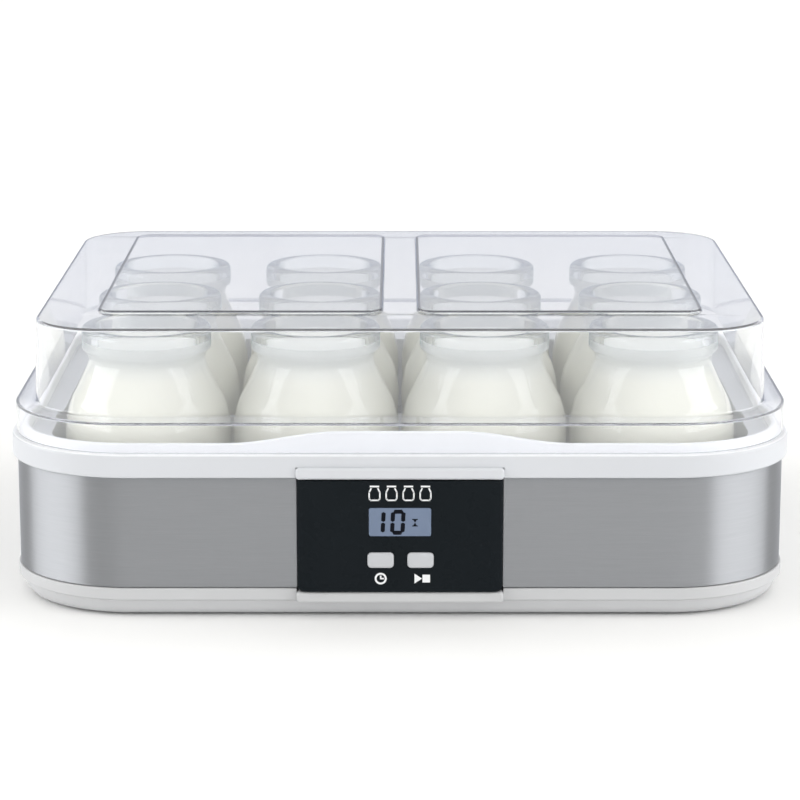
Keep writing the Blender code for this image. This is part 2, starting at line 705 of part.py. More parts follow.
def make_ribbon_cable(board_back):
    """A flat cable from the control board down under the well to the power board."""
    start, turn = board_back + GAP, board_back + GAP + RIBBON_BEND
    foot = RIBBON_LEVEL + RIBBON_BEND
    section = [
        (start, RIBBON_TOP),
        (start, foot),
        (turn, RIBBON_LEVEL),
        (RIBBON_END, RIBBON_LEVEL),
        (RIBBON_END, RIBBON_LEVEL + RIBBON_THICKNESS),
        (turn + GAP, RIBBON_LEVEL + RIBBON_THICKNESS),
        (start + RIBBON_THICKNESS, foot + GAP),
        (start + RIBBON_THICKNESS, RIBBON_TOP),
    ]
    points = [(RIBBON_LEFT, y, z) for y, z in section]
    return extrude("ribbon_cable", points, (RIBBON_WIDTH, 0, 0), "ribbon_grey")


def make_fasteners_and_feet():
    for number, place in enumerate(screw_places(), 1):
        low, high = SCREW_HEAD_BOTTOM, SCREW_HEAD_TOP
        screw = upright(f"screw_{number}", place, SCREW_HEAD_RADIUS, low, high, "screw_steel")
        join(screw, upright(f"shank_{number}", place, SHANK_RADIUS, high - GAP, SHANK_TOP, "screw_steel", 8))
    for number, place in enumerate(foot_places(), 1):
        upright(f"foot_{number}", place, FOOT_RADIUS, 0.0, FOOT_HEIGHT, "rubber", 16, FOOT_BEVEL)


def make_cord_gland():
    """The bush that the mains cord passes through at the back."""
    outer = HALF_DEPTH + GAP
    length = GLAND_END - outer
    centre = (GLAND_X, outer + length / 2, GLAND_LEVEL)
    flange = cylinder("cord_gland", centre, GLAND_FLANGE_RADIUS, length, "rubber", "Y", 20, 0.0010)
    body_length = GLAND_DEPTH + SOFT_EDGE
    body_centre = (GLAND_X, outer - GLAND_DEPTH + body_length / 2, GLAND_LEVEL)
    body = cylinder("gland_body", body_centre, GLAND_RADIUS, body_length, "rubber", "Y", 20)
    bore_centre = (GLAND_X, outer, GLAND_LEVEL)
    bore = cylinder("gland_bore", bore_centre, GLAND_BORE, 3 * PAST, "rubber", "Y", 12)
    join(flange, body)
    return cut(flange, bore)


def main():
    clear_scene()
    make_base_housing()
    make_steel_band()
    make_bottom_cover()
    make_heating()
    make_power_board()
    make_panel()
    make_fasteners_and_feet()
    make_cord_gland()
    make_jars()
    make_lid()


main()
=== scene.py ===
"""The looks of a twelve-jar yogurt maker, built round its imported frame. Metres, +Z up, front to -Y."""

import math

import bmesh
import bpy
from mathutils import Matrix, Vector
from mathutils.geometry import tessellate_polygon


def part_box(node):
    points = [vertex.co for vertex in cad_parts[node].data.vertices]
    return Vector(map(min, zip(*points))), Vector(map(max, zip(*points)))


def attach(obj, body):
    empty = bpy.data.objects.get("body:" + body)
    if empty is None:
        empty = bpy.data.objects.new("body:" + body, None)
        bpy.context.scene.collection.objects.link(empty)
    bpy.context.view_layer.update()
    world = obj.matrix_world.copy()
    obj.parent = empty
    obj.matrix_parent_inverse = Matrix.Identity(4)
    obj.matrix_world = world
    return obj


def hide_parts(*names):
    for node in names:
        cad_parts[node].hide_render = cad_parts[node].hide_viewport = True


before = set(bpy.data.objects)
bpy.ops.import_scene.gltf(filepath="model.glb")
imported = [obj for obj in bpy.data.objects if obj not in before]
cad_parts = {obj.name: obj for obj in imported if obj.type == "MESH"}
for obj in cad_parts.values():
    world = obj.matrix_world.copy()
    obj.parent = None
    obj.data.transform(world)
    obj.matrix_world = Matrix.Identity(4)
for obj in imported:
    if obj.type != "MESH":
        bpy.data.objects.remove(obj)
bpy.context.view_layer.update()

BAND_LOW, BAND_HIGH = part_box("steel_band")
_, HOUSING_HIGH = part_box("base_housing")
COVER_LOW, COVER_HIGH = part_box("bottom_cover")
LID_LOW, LID_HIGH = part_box("lid")
TRAY_LOW, TRAY_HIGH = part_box("heating_tray")
FASCIA_LOW, FASCIA_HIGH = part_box("control_fascia")
SCREEN_LOW, SCREEN_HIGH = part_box("lcd_window")
JAR_LOW, JAR_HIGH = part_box("jar_01")

# Fits. The holes round the window and the keys are tighter than the rest. The trims sink into what is round
# them, so that no dark line shows there. The yogurt sinks into its glass, so that no air shows between.
GAP = 0.0003
CLOSE_FIT = 0.00012
TRIM_BITE = 0.00006
YOGURT_BITE = 0.0004

HALF_WIDTH = BAND_HIGH[0]
HALF_DEPTH = BAND_HIGH[1]
CORNER_RADIUS = 0.0510
CORNER_STEPS = 28
FAR = 0.02  # how far a cutter reaches past the surface that it cuts

# The base's layers, above the worktop and inward from the steel band's face.
BAND_BOTTOM = BAND_LOW[2]
BAND_TOP = BAND_HIGH[2]
BAND_THICKNESS = 0.0009
WALL = 0.0024
RIM_BOTTOM = BAND_TOP + GAP
RIM_TOP = LID_LOW[2] - GAP
RIM_PROUD = HOUSING_HIGH[0] - HALF_WIDTH
LIP_TOP = RIM_TOP + 0.0039
LIP_CREST = HOUSING_HIGH[2]
LIP_INSET = 0.0027
CREST_FLAT = 0.024
CREST_SLOPE = 0.048
DECK_TOP = RIM_TOP - 0.0015
DECK_BOTTOM = DECK_TOP - 0.0025
FLANGE_WIDTH = 0.0080
FLANGE_TOP = TRAY_LOW[2] - GAP
FLANGE_BOTTOM = FLANGE_TOP - 0.0024
COVER_PROUD = COVER_HIGH[0] - HALF_WIDTH
COVER_BELT = 0.0080
WELL_HALF_WIDTH = TRAY_HIGH[0] + GAP
WELL_HALF_DEPTH = TRAY_HIGH[1] + GAP
WELL_RADIUS = 0.0300
POST_X = 0.0950
POST_Y = 0.1190
PANEL_HALF_WIDTH = 0.0400
PANEL_TOP = 0.0570
PANEL_BACK = -0.1290
ENTRY_RADIUS = 0.0063

# The lid.
LID_WALL = 0.0011
SKIRT_BOTTOM = LID_LOW[2]
SKIRT_INSET = HALF_WIDTH - LID_HIGH[0]
LEDGE_OUTER = 0.0837
LEDGE_INNER = 0.0848
LEDGE_WIDTH = 0.0094
LID_DRAFT = 0.0010
LID_RADIUS = 0.0310
LID_EDGE = 0.0012
PLATEAU_HEIGHT = 0.0012
PLATEAU_FRONT = -0.0905
PLATEAU_BACK = 0.1070
PLATEAU_SPAN = 0.1283
PLATEAU_GAP = 0.0150
PLATEAU_RADIUS = 0.0075
LID_TOP = LID_HIGH[2] - PLATEAU_HEIGHT

# The jars.
JAR_COUNT = 12
JAR_STEPS = 72
JAR_HEIGHT = JAR_HIGH[2] - JAR_LOW[2]
LIP_FOOT = JAR_HEIGHT - 0.0104
NECK_RADIUS = 0.0246
LIP_RADIUS = 0.0278
MOUTH_RADIUS = 0.0212
YOGURT_DEPTH = 0.0722

# The camera: its place, how many degrees it looks down, and its lens in millimetres.
CAMERA_PLACE = (0.0, -1.2947, 0.3546)
CAMERA_DIP = 12.69
LENS = 130.4

# The studio's light, as radiance, and one soft box's power in watts.
SKY_HORIZON = (0.17, 0.20, 0.27)
SKY_LOW = (0.425, 0.417, 0.390)
SKY_HIGH = (0.425, 0.425, 0.425)
SKY_FRONT = (0.69, 0.69, 0.69)
SKY_BACK = (0.255, 0.272, 0.340)
SKY_LEFT = (3.48, 3.48, 3.48)
SKY_RIGHT = (3.23, 3.23, 3.23)
TOP_BOX_POWER = 6.8
TOP_BOX_PLACE = (0.0, 0.6, 2.35)
TOP_BOX_AIM = (0.0, 0.0, 0.05)
TOP_BOX_SIZE = (2.4, 2.0)

# Colours that more than one finish takes, and how much the clear bodies absorb per metre.
WHITE_PLASTIC = (0.600, 0.615, 0.645)
# Painted light: the housing's lip takes a lighter white, which stands in for light that reaches it through
# the clear lid.
LIP_PAINTED_LIGHT = (0.830, 0.840, 0.860)
PAINTED_LIGHT_STEP = RIM_TOP - 0.0004  # the height where the housing turns to that lighter white
# Painted reflection: the jar lip's dark edge colour stands in for the dark that thick glass shows edge on.
LIP_EDGE_PAINTED_DARK = (0.03, 0.08, 0.13)
LID_ABSORPTION = 40.0
JAR_ABSORPTION = 6.0

# Where the ends of the panel's strips and of its fascia are sampled: close together near the tip.
END_DISTANCES = [0.0, 0.00004, 0.00015, 0.0004, 0.0008, 0.0012, 0.0016]
END_DISTANCES += [0.0020, 0.0026, 0.0034, 0.0042, 0.0050, 0.0058]

# The marks on the panel.
PRINT_DEPTH = 0.00006
MARK_HEIGHT = 0.0186
JAR_MARK_HEIGHT = 0.0546
JAR_MARK_PITCH = 0.0070

# --- camera


def make_camera():
    """A long lens from in front, a little above the lid."""
    data = bpy.data.cameras.new("camera")
    data.sensor_width = 36.0
    data.lens = LENS
    camera = bpy.data.objects.new("camera", data)
    bpy.context.scene.collection.objects.link(camera)
    camera.location = CAMERA_PLACE
    camera.rotation_euler = (math.radians(90 - CAMERA_DIP), 0, 0)
    bpy.context.scene.camera = camera


# --- materials


MATERIALS = {}


class Nodes:
    """A short way to write the node tree of a new material, which is kept under its name."""

    def __init__(self, name):
        MATERIALS[name] = bpy.data.materials.new(name)
        MATERIALS[name].use_nodes = True
        self.tree = MATERIALS[name].node_tree
        self.shader = self.tree.nodes["Principled BSDF"]

    def add(self, kind, **settings):
        node = self.tree.nodes.new(kind)
        for key, value in settings.items():
            if hasattr(node, key):
                setattr(node, key, value)
            else:
                node.inputs[key.replace("_", " ").title()].default_value = value
        return node

    def link(self, source, target):
        self.tree.links.new(source, target)

    def tint_through(self, colour, density):
        """Darkens what is seen through the body by its thickness."""
        volume = self.add("ShaderNodeVolumeAbsorption")
        volume.inputs["Color"].default_value = (*colour, 1)
        volume.inputs["Density"].default_value = density
        self.link(volume.outputs[0], self.tree.nodes["Material Output"].inputs["Volume"])

    def set(self, **values):
        for key, value in values.items():
            name = key.replace("_", " ").title().replace("Ior", "IOR")
            self.shader.inputs[name].default_value = value

    def place(self, scale):
        """The point on the object, stretched by scale."""
        coordinates = self.add("ShaderNodeTexCoord")
        mapping = self.add("ShaderNodeMapping")
        mapping.inputs["Scale"].default_value = scale
        self.link(coordinates.outputs["Object"], mapping.inputs["Vector"])
        return mapping.outputs["Vector"]

    def noise(self, scale, detail=3.0, stretch=(1, 1, 1), roughness=0.5):
        node = self.add("ShaderNodeTexNoise")
        node.inputs["Scale"].default_value = scale
        node.inputs["Detail"].default_value = detail
        node.inputs["Roughness"].default_value = roughness
        self.link(self.place(stretch), node.inputs["Vector"])
        return node.outputs["Fac"]

    def height(self):
        """How high the point is above the object's own origin."""
        node = self.add("ShaderNodeSeparateXYZ")
        self.link(self.place((1, 1, 1)), node.inputs[0])
        return node.outputs["Z"]

    def mix(self, factor, first, second, **settings):
        """Two colours mixed. Each of the three is a socket or a plain value."""
        node = self.add("ShaderNodeMix", data_type="RGBA", **settings)
        for socket, source in ((0, factor), (6, first), (7, second)):
            if isinstance(source, bpy.types.NodeSocket):
                self.link(source, node.inputs[socket])
            else:
                node.inputs[socket].default_value = source
        return node.outputs[2]

    def ramp(self, factor, stops):
        """Colours at places from 0 to 1 along the factor."""
        node = self.add("ShaderNodeValToRGB")
        elements = node.color_ramp.elements
        while len(elements) < len(stops):
            elements.new(0.5)
        for element, (place, colour) in zip(elements, stops):
            element.position = place
            element.color = (*colour, 1.0)
        self.link(factor, node.inputs["Fac"])
        return node.outputs["Color"]

    def remap(self, factor, start, end, low, high):
        """The factor from start..end, mapped to low..high and held there outside it."""
        node = self.add("ShaderNodeMapRange")
        for name, value in (("From Min", start), ("From Max", end), ("To Min", low), ("To Max", high)):
            node.inputs[name].default_value = value
        self.link(factor, node.inputs["Value"])
        return node.outputs["Result"]

    def spread(self, factor, low, high):
        """The factor's middle range, mapped to low..high."""
        return self.remap(factor, 0.25, 0.75, low, high)

    def cloud(self, dark, light, *noise):
        """Soft patches between two colours."""
        return self.ramp(self.noise(*noise), [(0.3, dark), (0.7, light)])

    def bump(self, height, strength, distance):
        node = self.add("ShaderNodeBump")
        node.inputs["Strength"].default_value = strength
        node.inputs["Distance"].default_value = distance
        self.link(height, node.inputs["Height"])
        self.link(node.outputs["Normal"], self.shader.inputs["Normal"])

    def colour(self, source):
        self.link(source, self.shader.inputs["Base Color"])

    def roughness(self, factor, low, high):
        self.link(self.spread(factor, low, high), self.shader.inputs["Roughness"])


def moulded(
    name, colour, roughness, grain=0.00002, fineness=900.0, mottle=0.02, metallic=0.0, shine=0.5, above=None
):
    """Moulded plastic and the like: a faint mottle, uneven gloss and a fine grain.

    Given above, a height and a colour, it takes that colour over that height: a painted lighter band, which
    stands in for light that falls there.
    """
    nodes = Nodes(name)
    dark = tuple(part * (1 - mottle) for part in colour)
    light = tuple(min(1.0, part * (1 + mottle)) for part in colour)
    shade = nodes.cloud(dark, light, 14.0)
    if above:
        step = nodes.add("ShaderNodeMath", operation="GREATER_THAN")
        nodes.link(nodes.height(), step.inputs[0])
        step.inputs[1].default_value = above[0]
        shade = nodes.mix(step.outputs[0], shade, (*above[1], 1))
    nodes.colour(shade)
    nodes.roughness(nodes.noise(45.0, 4.0), roughness * 0.88, roughness * 1.12)
    nodes.set(metallic=metallic, specular_ior_level=shine)
    nodes.bump(nodes.noise(fineness, 2.0), 0.6, grain)


def brushed_steel():
    """Fine short scratches run level round the band."""
    nodes = Nodes("brushed_steel")
    fine = nodes.noise(1.0, 6.0, (75, 75, 3400), 0.70)
    broad = nodes.noise(1.0, 4.0, (26, 26, 900), 0.60)
    blend = nodes.add("ShaderNodeMix")
    blend.inputs[0].default_value = 0.30
    nodes.link(fine, blend.inputs[2])
    nodes.link(broad, blend.inputs[3])
    streaks = blend.outputs[0]
    nodes.colour(nodes.ramp(streaks, [(0.32, (0.441, 0.453, 0.476)), (0.68, (0.500, 0.512, 0.535))]))
    nodes.roughness(streaks, 0.47, 0.53)
    nodes.set(metallic=1.0, anisotropic=1.0, anisotropic_rotation=0.25)
    nodes.bump(streaks, 0.25, 0.00002)


def clear_plastic():
    """Clear polystyrene with the slightest waviness of a moulded sheet."""
    nodes = Nodes("clear_plastic")
    nodes.colour(nodes.cloud((0.987, 0.991, 0.998), (0.992, 0.995, 1.000), 9.0))
    nodes.roughness(nodes.noise(60.0), 0.0, 0.012)
    nodes.set(transmission_weight=0.955, ior=1.45)
    nodes.tint_through((0.45, 0.52, 0.80), LID_ABSORPTION)
    nodes.bump(nodes.noise(22.0, 1.0), 0.10, 0.0004)


def jar_glass():
    """Pressed glass, a little uneven. Its heavy lip is painted dark where it is seen edge on: a painted
    reflection of the dark round it.
    """
    nodes = Nodes("jar_glass")
    clear = nodes.cloud((0.982, 0.990, 0.987), (0.988, 0.994, 0.991), 20.0)
    # Painted reflection: the lip's colour turns dark where it is seen edge on.
    in_lip = nodes.remap(nodes.height(), LIP_FOOT, LIP_FOOT + 0.0030, 0.0, 1.0)
    facing = nodes.add("ShaderNodeLayerWeight", Blend=0.5).outputs["Facing"]
    edge_on = nodes.remap(facing, 0.40, 0.85, 0.0, 1.0)
    both = nodes.add("ShaderNodeMath", operation="MULTIPLY")
    nodes.link(in_lip, both.inputs[0])
    nodes.link(edge_on, both.inputs[1])
    nodes.colour(nodes.mix(both.outputs[0], clear, (*LIP_EDGE_PAINTED_DARK, 1)))
    nodes.roughness(nodes.noise(80.0), 0.0, 0.015)
    nodes.set(transmission_weight=0.985, ior=1.50)
    nodes.tint_through((0.10, 0.40, 0.60), JAR_ABSORPTION)
    nodes.bump(nodes.noise(70.0, 1.0), 0.12, 0.0004)


def yogurt():
    """Set yogurt: creamy and moist, with a faint curd grain, and painted greyer up in the jar's neck, as
    painted shade for light that the lid and the glass hold back.
    """
    nodes = Nodes("yogurt")
    mottle = nodes.cloud((0.975, 0.975, 0.970), (1.0, 1.0, 1.0), 60.0, 4.0)
    depth = nodes.remap(nodes.height(), 0.0, YOGURT_DEPTH, 0.0, 1.0)
    # Above 0.62 of the fill's height the colour darkens: painted shade up in the neck.
    stops = [(0.0, (0.990, 0.974, 0.872)), (0.62, (0.985, 0.969, 0.872)), (0.80, (0.965, 0.950, 0.870))]
    stops += [(0.92, (0.780, 0.785, 0.760))]
    nodes.colour(nodes.mix(1.0, nodes.ramp(depth, stops), mottle, blend_type="MULTIPLY"))
    nodes.roughness(nodes.noise(220.0), 0.38, 0.52)
    nodes.bump(nodes.noise(260.0, 4.0), 0.35, 0.0002)


def gloss_black():
    """The fascia's polished black, with the least dust and haze."""
    nodes = Nodes("gloss_black")
    nodes.colour(nodes.cloud((0.0065, 0.0092, 0.0115), (0.0082, 0.0110, 0.0135), 30.0, 5.0))
    nodes.roughness(nodes.noise(120.0, 4.0), 0.24, 0.32)
    nodes.set(specular_ior_level=0.06)
    nodes.bump(nodes.noise(700.0, 2.0), 0.3, 0.00001)


def screen():
    """The unlit blue-grey of a reflective display, with its faint row lines."""
    nodes = Nodes("screen")
    rows = nodes.add("ShaderNodeTexWave", wave_type="BANDS", bands_direction="Z")
    rows.inputs["Scale"].default_value = 700.0
    nodes.link(nodes.place((1, 1, 1)), rows.inputs["Vector"])
    colour = nodes.cloud((0.122, 0.168, 0.258), (0.142, 0.192, 0.294), 90.0)
    nodes.colour(nodes.mix(0.06, colour, rows.outputs["Color"], blend_type="MULTIPLY"))
    nodes.roughness(nodes.noise(160.0), 0.20, 0.28)
    nodes.set(coat_weight=0.4, coat_roughness=0.05)


def circuit_board():
    """Green solder mask over fine copper tracks."""
    nodes = Nodes("circuit_board")
    tracks = nodes.add("ShaderNodeTexBrick")
    tracks.inputs["Scale"].default_value = 160.0
    tracks.inputs["Mortar Size"].default_value = 0.04
    tracks.inputs["Color1"].default_value = (0.010, 0.100, 0.040, 1)
    tracks.inputs["Color2"].default_value = (0.016, 0.130, 0.052, 1)
    tracks.inputs["Mortar"].default_value = (0.040, 0.220, 0.090, 1)
    nodes.link(nodes.place((1, 1, 1)), tracks.inputs["Vector"])
    nodes.colour(tracks.outputs["Color"])
    nodes.roughness(nodes.noise(200.0), 0.35, 0.50)
    nodes.bump(tracks.outputs["Fac"], 0.4, 0.00003)


def brushed_sheet():
    """Rolled aluminium sheet, with its grain along X."""
    nodes = Nodes("aluminium_sheet")
    grain = nodes.noise(1.0, 4.0, (12, 900, 900), 0.6)
    nodes.colour(nodes.ramp(grain, [(0.3, (0.62, 0.63, 0.64)), (0.7, (0.74, 0.75, 0.76))]))
    nodes.roughness(grain, 0.34, 0.48)
    nodes.set(metallic=1.0, anisotropic=0.4)
    nodes.bump(grain, 0.3, 0.00003)


def floor_material():
    """The studio's matte white paper."""
    nodes = Nodes("floor")
    nodes.colour(nodes.cloud((0.962, 0.962, 0.960), (0.970, 0.970, 0.968), 3.0))
    nodes.roughness(nodes.noise(8.0), 0.75, 0.85)


def make_materials():
    moulded("white_plastic", WHITE_PLASTIC, 0.34)
    # The housing is painted lighter over its lip: painted light.
    moulded("housing_plastic", WHITE_PLASTIC, 0.34, above=(PAINTED_LIGHT_STEP, LIP_PAINTED_LIGHT))
    moulded("grey_plastic", (0.530, 0.535, 0.545), 0.42)
    moulded("button_plastic", (0.500, 0.512, 0.535), 0.36)
    moulded("black_plastic", (0.020, 0.020, 0.022), 0.40)
    moulded("print_white", (0.780, 0.790, 0.800), 0.50, mottle=0.01)
    moulded("segment_dark", (0.004, 0.005, 0.009), 0.60, mottle=0.01, shine=0.08)
    moulded("relay_case", (0.030, 0.120, 0.400), 0.38)
    moulded("fuse_body", (0.800, 0.790, 0.740), 0.60)
    moulded("heater_sleeve", (0.450, 0.100, 0.060), 0.62, 0.00006, 500.0, 0.06)
    moulded("ribbon_sleeve", (0.450, 0.460, 0.480), 0.55)
    moulded("rubber", (0.030, 0.030, 0.031), 0.78, 0.00006, 420.0, 0.10)
    moulded("screw_steel", (0.600, 0.600, 0.590), 0.30, metallic=1.0)
    brushed_steel()
    clear_plastic()
    jar_glass()
    yogurt()
    gloss_black()
    screen()
    circuit_board()
    brushed_sheet()
    floor_material()


# --- shapes


def outline(half_width, half_depth, radius, z, steps=CORNER_STEPS, centre=(0.0, 0.0)):
    """The points of a rounded rectangle, counter-clockwise from the right."""
    points = []
    for turn, (side_x, side_y) in enumerate(((1, 1), (-1, 1), (-1, -1), (1, -1))):
        centre_x = centre[0] + side_x * (half_width - radius)
        centre_y = centre[1] + side_y * (half_depth - radius)
        for step in range(steps + 1):
            angle = math.pi / 2 * (turn + step / steps)
            points.append((centre_x + radius * math.cos(angle), centre_y + radius * math.sin(angle), z))
    return points


def base_outline(inset, z):
    return outline(HALF_WIDTH - inset, HALF_DEPTH - inset, CORNER_RADIUS - inset, z)


def box_outline(inset, z):
    """The outline of the lid's box, whose corners are tighter than the base's."""
    radius = LID_RADIUS + LEDGE_WIDTH - inset
    return outline(HALF_WIDTH - inset, HALF_DEPTH - inset, radius, z)


def well_outline(outset, z):
    return outline(WELL_HALF_WIDTH + outset, WELL_HALF_DEPTH + outset, WELL_RADIUS + outset, z)


def turns(start, end, steps):
    """Even steps from one angle in degrees to another, in radians."""
    return [math.radians(start + (end - start) * step / steps) for step in range(steps + 1)]


def arc(inset, z, radius, start, end, steps):
    """(inset, height) points round a centre, from the start angle to the end angle in degrees."""
    return [(inset + radius * math.cos(a), z + radius * math.sin(a)) for a in turns(start, end, steps)]


def add_loops(shape, outlines):
    return [[shape.verts.new(point) for point in points] for points in outlines]


def bridge(shape, loops, ring=False):
    pairs = list(zip(loops, loops[1:]))
    if ring:
        pairs.append((loops[-1], loops[0]))
    count = len(loops[0])
    for lower, upper in pairs:
        for i in range(count):
            j = (i + 1) % count
            shape.faces.new((lower[i], lower[j], upper[j], upper[i]))


def loft(outlines, ring=False):
    """A skin through a stack of outlines, capped at both ends or closed into a ring."""
    shape = bmesh.new()
    loops = add_loops(shape, outlines)
    bridge(shape, loops, ring)
    if not ring:
        shape.faces.new(loops[0])
        shape.faces.new(loops[-1])
    return shape


def lathe(profile, steps):
    """A solid turned about Z from (radius, height) points that start and end on the axis."""
    shape = bmesh.new()
    verts = [shape.verts.new((radius, 0, z)) for radius, z in profile]
    edges = [shape.edges.new(pair) for pair in zip(verts, verts[1:])]
    bmesh.ops.spin(
        shape, geom=verts + edges, cent=(0, 0, 0), axis=(0, 0, 1), angle=2 * math.pi, steps=steps
    )
    bmesh.ops.remove_doubles(shape, verts=shape.verts, dist=0.000005)
    return shape


def curve_through(points, steps):
    """A smooth curve through the points, as a Catmull-Rom spline."""
    ends = [points[0]] + list(points) + [points[-1]]
    smooth = []
    for before, start, end, after in zip(ends, ends[1:], ends[2:], ends[3:]):
        a, b, c, d = (Vector(point) for point in (before, start, end, after))
        for step in range(steps):
            t = step / steps
            place = b * 2 + (c - a) * t + (a * 2 - b * 5 + c * 4 - d) * t**2
            place += (b * 3 - a - c * 3 + d) * t**3
            smooth.append(tuple(place / 2))
    smooth.append(tuple(points[-1]))
    return smooth


def block(low, high):
    shape = bmesh.new()
    bmesh.ops.create_cube(shape, size=1.0)
    size = [b - a for a, b in zip(low, high)]
    bmesh.ops.scale(shape, vec=size, verts=shape.verts)
    bmesh.ops.translate(shape, vec=[(a + b) / 2 for a, b in zip(low, high)], verts=shape.verts)
    return shape


def turn(shape, axis, centre):
    """Points a shape made along Z along another axis, and puts it in place."""
    angle = {"Y": -math.pi / 2, "-Y": math.pi / 2, "Z": 0}[axis]
    bmesh.ops.rotate(shape, matrix=Matrix.Rotation(angle, 3, "X"), verts=shape.verts)
    bmesh.ops.translate(shape, vec=centre, verts=shape.verts)
    return shape


def merge(shapes):
    """Several shapes as one mesh."""
    whole = bmesh.new()
    for shape in shapes:
        mesh = bpy.data.meshes.new("part")
        shape.to_mesh(mesh)
        shape.free()
        whole.from_mesh(mesh)
        bpy.data.meshes.remove(mesh)
    return whole


def finish_mesh(shape, name, sharp=38.0):
    bmesh.ops.recalc_face_normals(shape, faces=shape.faces[:])
    mesh = bpy.data.meshes.new(name)
    shape.to_mesh(mesh)
    shape.free()
    mesh.shade_smooth()
    mesh.set_sharp_from_angle(angle=math.radians(sharp))
    return mesh


def show(name, mesh, finish, body, replaced=(), place=(0, 0, 0)):
    """A mesh put in the scene as a piece that rides on a body and may stand for CAD nodes.

    It takes its finish's material, unless its mesh has one already.
    """
    obj = bpy.data.objects.new(name, mesh)
    bpy.context.scene.collection.objects.link(obj)
    if not mesh.materials:
        mesh.materials.append(MATERIALS[finish])
    obj.location = place
    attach(obj, body)
    if replaced:
        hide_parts(*replaced)
    return obj


def cut(obj, *cutters):
    """Takes the cutters' shapes out of the piece's mesh for good."""
    for number, shape in enumerate(cutters):
        helper = bpy.data.objects.new(f"cutter_{number}", finish_mesh(shape, "cutter"))
        bpy.context.scene.collection.objects.link(helper)
        step = obj.modifiers.new("cut", "BOOLEAN")
        step.operation = "DIFFERENCE"
        step.solver = "EXACT"
        step.object = helper
        graph = bpy.context.evaluated_depsgraph_get()
        mesh = bpy.data.meshes.new_from_object(obj.evaluated_get(graph))
        obj.modifiers.clear()
        old = obj.data
        obj.data = mesh
        mesh.name = old.name
        bpy.data.meshes.remove(old)
        bpy.data.objects.remove(helper)
    obj.data.set_sharp_from_angle(angle=math.radians(38))
    return obj


def soften(obj, width):
    bevel = obj.modifiers.new("soft_edges", "BEVEL")
    bevel.width = width
    bevel.segments = 2
    bevel.angle_limit = math.radians(50)


def level_shading(obj):
    """Keeps large flat faces flat in the shading, next to their rounded edges."""
    weighted = obj.modifiers.new("level_shading", "WEIGHTED_NORMAL")
    weighted.keep_sharp = True
    weighted.weight = 80


def notch(half_width, low_z, high_z, back):
    """A cutter that opens the front of the base from its face to the depth of back."""
    return block((-half_width, -HALF_DEPTH - FAR, low_z), (half_width, back, high_z))


def node_centre(node):
    low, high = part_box(node)
    return tuple((a + b) / 2 for a, b in zip(low, high))


# --- base


def lip_height(x, y):
    """How far the inner lip stands above its usual height: it rises behind the control panel."""
    if y > 0:
        return 0.0
    part = min(1.0, max(0.0, (abs(x) - CREST_FLAT) / CREST_SLOPE))
    return (LIP_CREST - LIP_TOP) * (1 + math.cos(math.pi * part)) / 2


def with_front_points(points):
    """The outline with extra points along the straight front, so that the lip can curve there."""
    count = 48
    fuller = []
    for current, following in zip(points, points[1:] + points[:1]):
        fuller.append(current)
        straight = abs(following[0] - current[0]) > HALF_WIDTH - CORNER_RADIUS
        if straight and current[1] < 0:
            for step in range(1, count):
                part = step / count
                fuller.append(tuple(a + (b - a) * part for a, b in zip(current, following)))
    return fuller


def raise_crest(x, y, z):
    above_rim = z > RIM_TOP + 0.0020
    return (x, y, z + lip_height(x, y) if above_rim else z)


def make_housing():
    """Outer wall, rim, lip and well, with every edge rounded."""
    wall_inset = BAND_THICKNESS + GAP
    inner = LIP_INSET + WALL
    under, over, crest, root = 0.0010, 0.0012, 0.0009, 0.0004
    rim_low = arc(-RIM_PROUD + under, RIM_BOTTOM + under, under, 270, 180, 4)
    rim_high = arc(-RIM_PROUD + 0.0013, RIM_TOP - over, over, 180, 90, 5)
    lip = arc(LIP_INSET + crest, LIP_TOP - crest, crest, 180, 90, 4)
    lip += arc(inner - crest, LIP_TOP - crest, crest, 90, 0, 4)
    base_profile = [(wall_inset, BAND_BOTTOM), (wall_inset, RIM_BOTTOM)] + rim_low + rim_high
    base_profile += [(LIP_INSET - root, RIM_TOP), (LIP_INSET, RIM_TOP + root)]
    base_profile += lip + [(inner, DECK_TOP + 0.0006), (inner + 0.0006, DECK_TOP)]
    outlines = [base_outline(inset, z) for inset, z in base_profile]
    well_profile = [(0.0010, DECK_TOP), (0.0003, DECK_TOP - 0.0003), (0.0, DECK_TOP - 0.0010)]
    well_profile += [(0.0, FLANGE_TOP), (-FLANGE_WIDTH, FLANGE_TOP), (-FLANGE_WIDTH, FLANGE_BOTTOM)]
    well_profile += [(WALL, FLANGE_BOTTOM), (WALL, DECK_BOTTOM)]
    outlines += [well_outline(outset, z) for outset, z in well_profile]
    outlines += [base_outline(wall_inset + WALL, z) for z in (DECK_BOTTOM, BAND_BOTTOM)]
    raised = [[raise_crest(*point) for point in with_front_points(points)] for points in outlines]
    mesh = finish_mesh(loft(raised, ring=True), "base_housing")
    housing = show("housing_shell", mesh, "housing_plastic", "base", ["base_housing"])
    _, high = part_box("panel_trim_upper")
    cutters = [
        notch(high[0] - TRIM_BITE, 0.0, high[2] - TRIM_BITE, high[1] + GAP),
        notch(PANEL_HALF_WIDTH, 0.0, PANEL_TOP, PANEL_BACK),
        turn(rod(ENTRY_RADIUS, FAR, 32), "Y", gland_centre()),
    ]
    cut(housing, *cutters)
    level_shading(housing)
    bore, girth, foot, head = 0.0017, 0.0042, 0.0085, 0.0600
    profile = [(bore, foot), (girth, foot), (girth, head), (bore, head)]
    posts = []
    for side_x in (-1, 1):
        for side_y in (-1, 1):
            posts.append(turn(pipe(profile, 24), "Z", (side_x * POST_X, side_y * POST_Y, 0)))
    show("housing_posts", finish_mesh(merge(posts), "posts"), "white_plastic", "base")


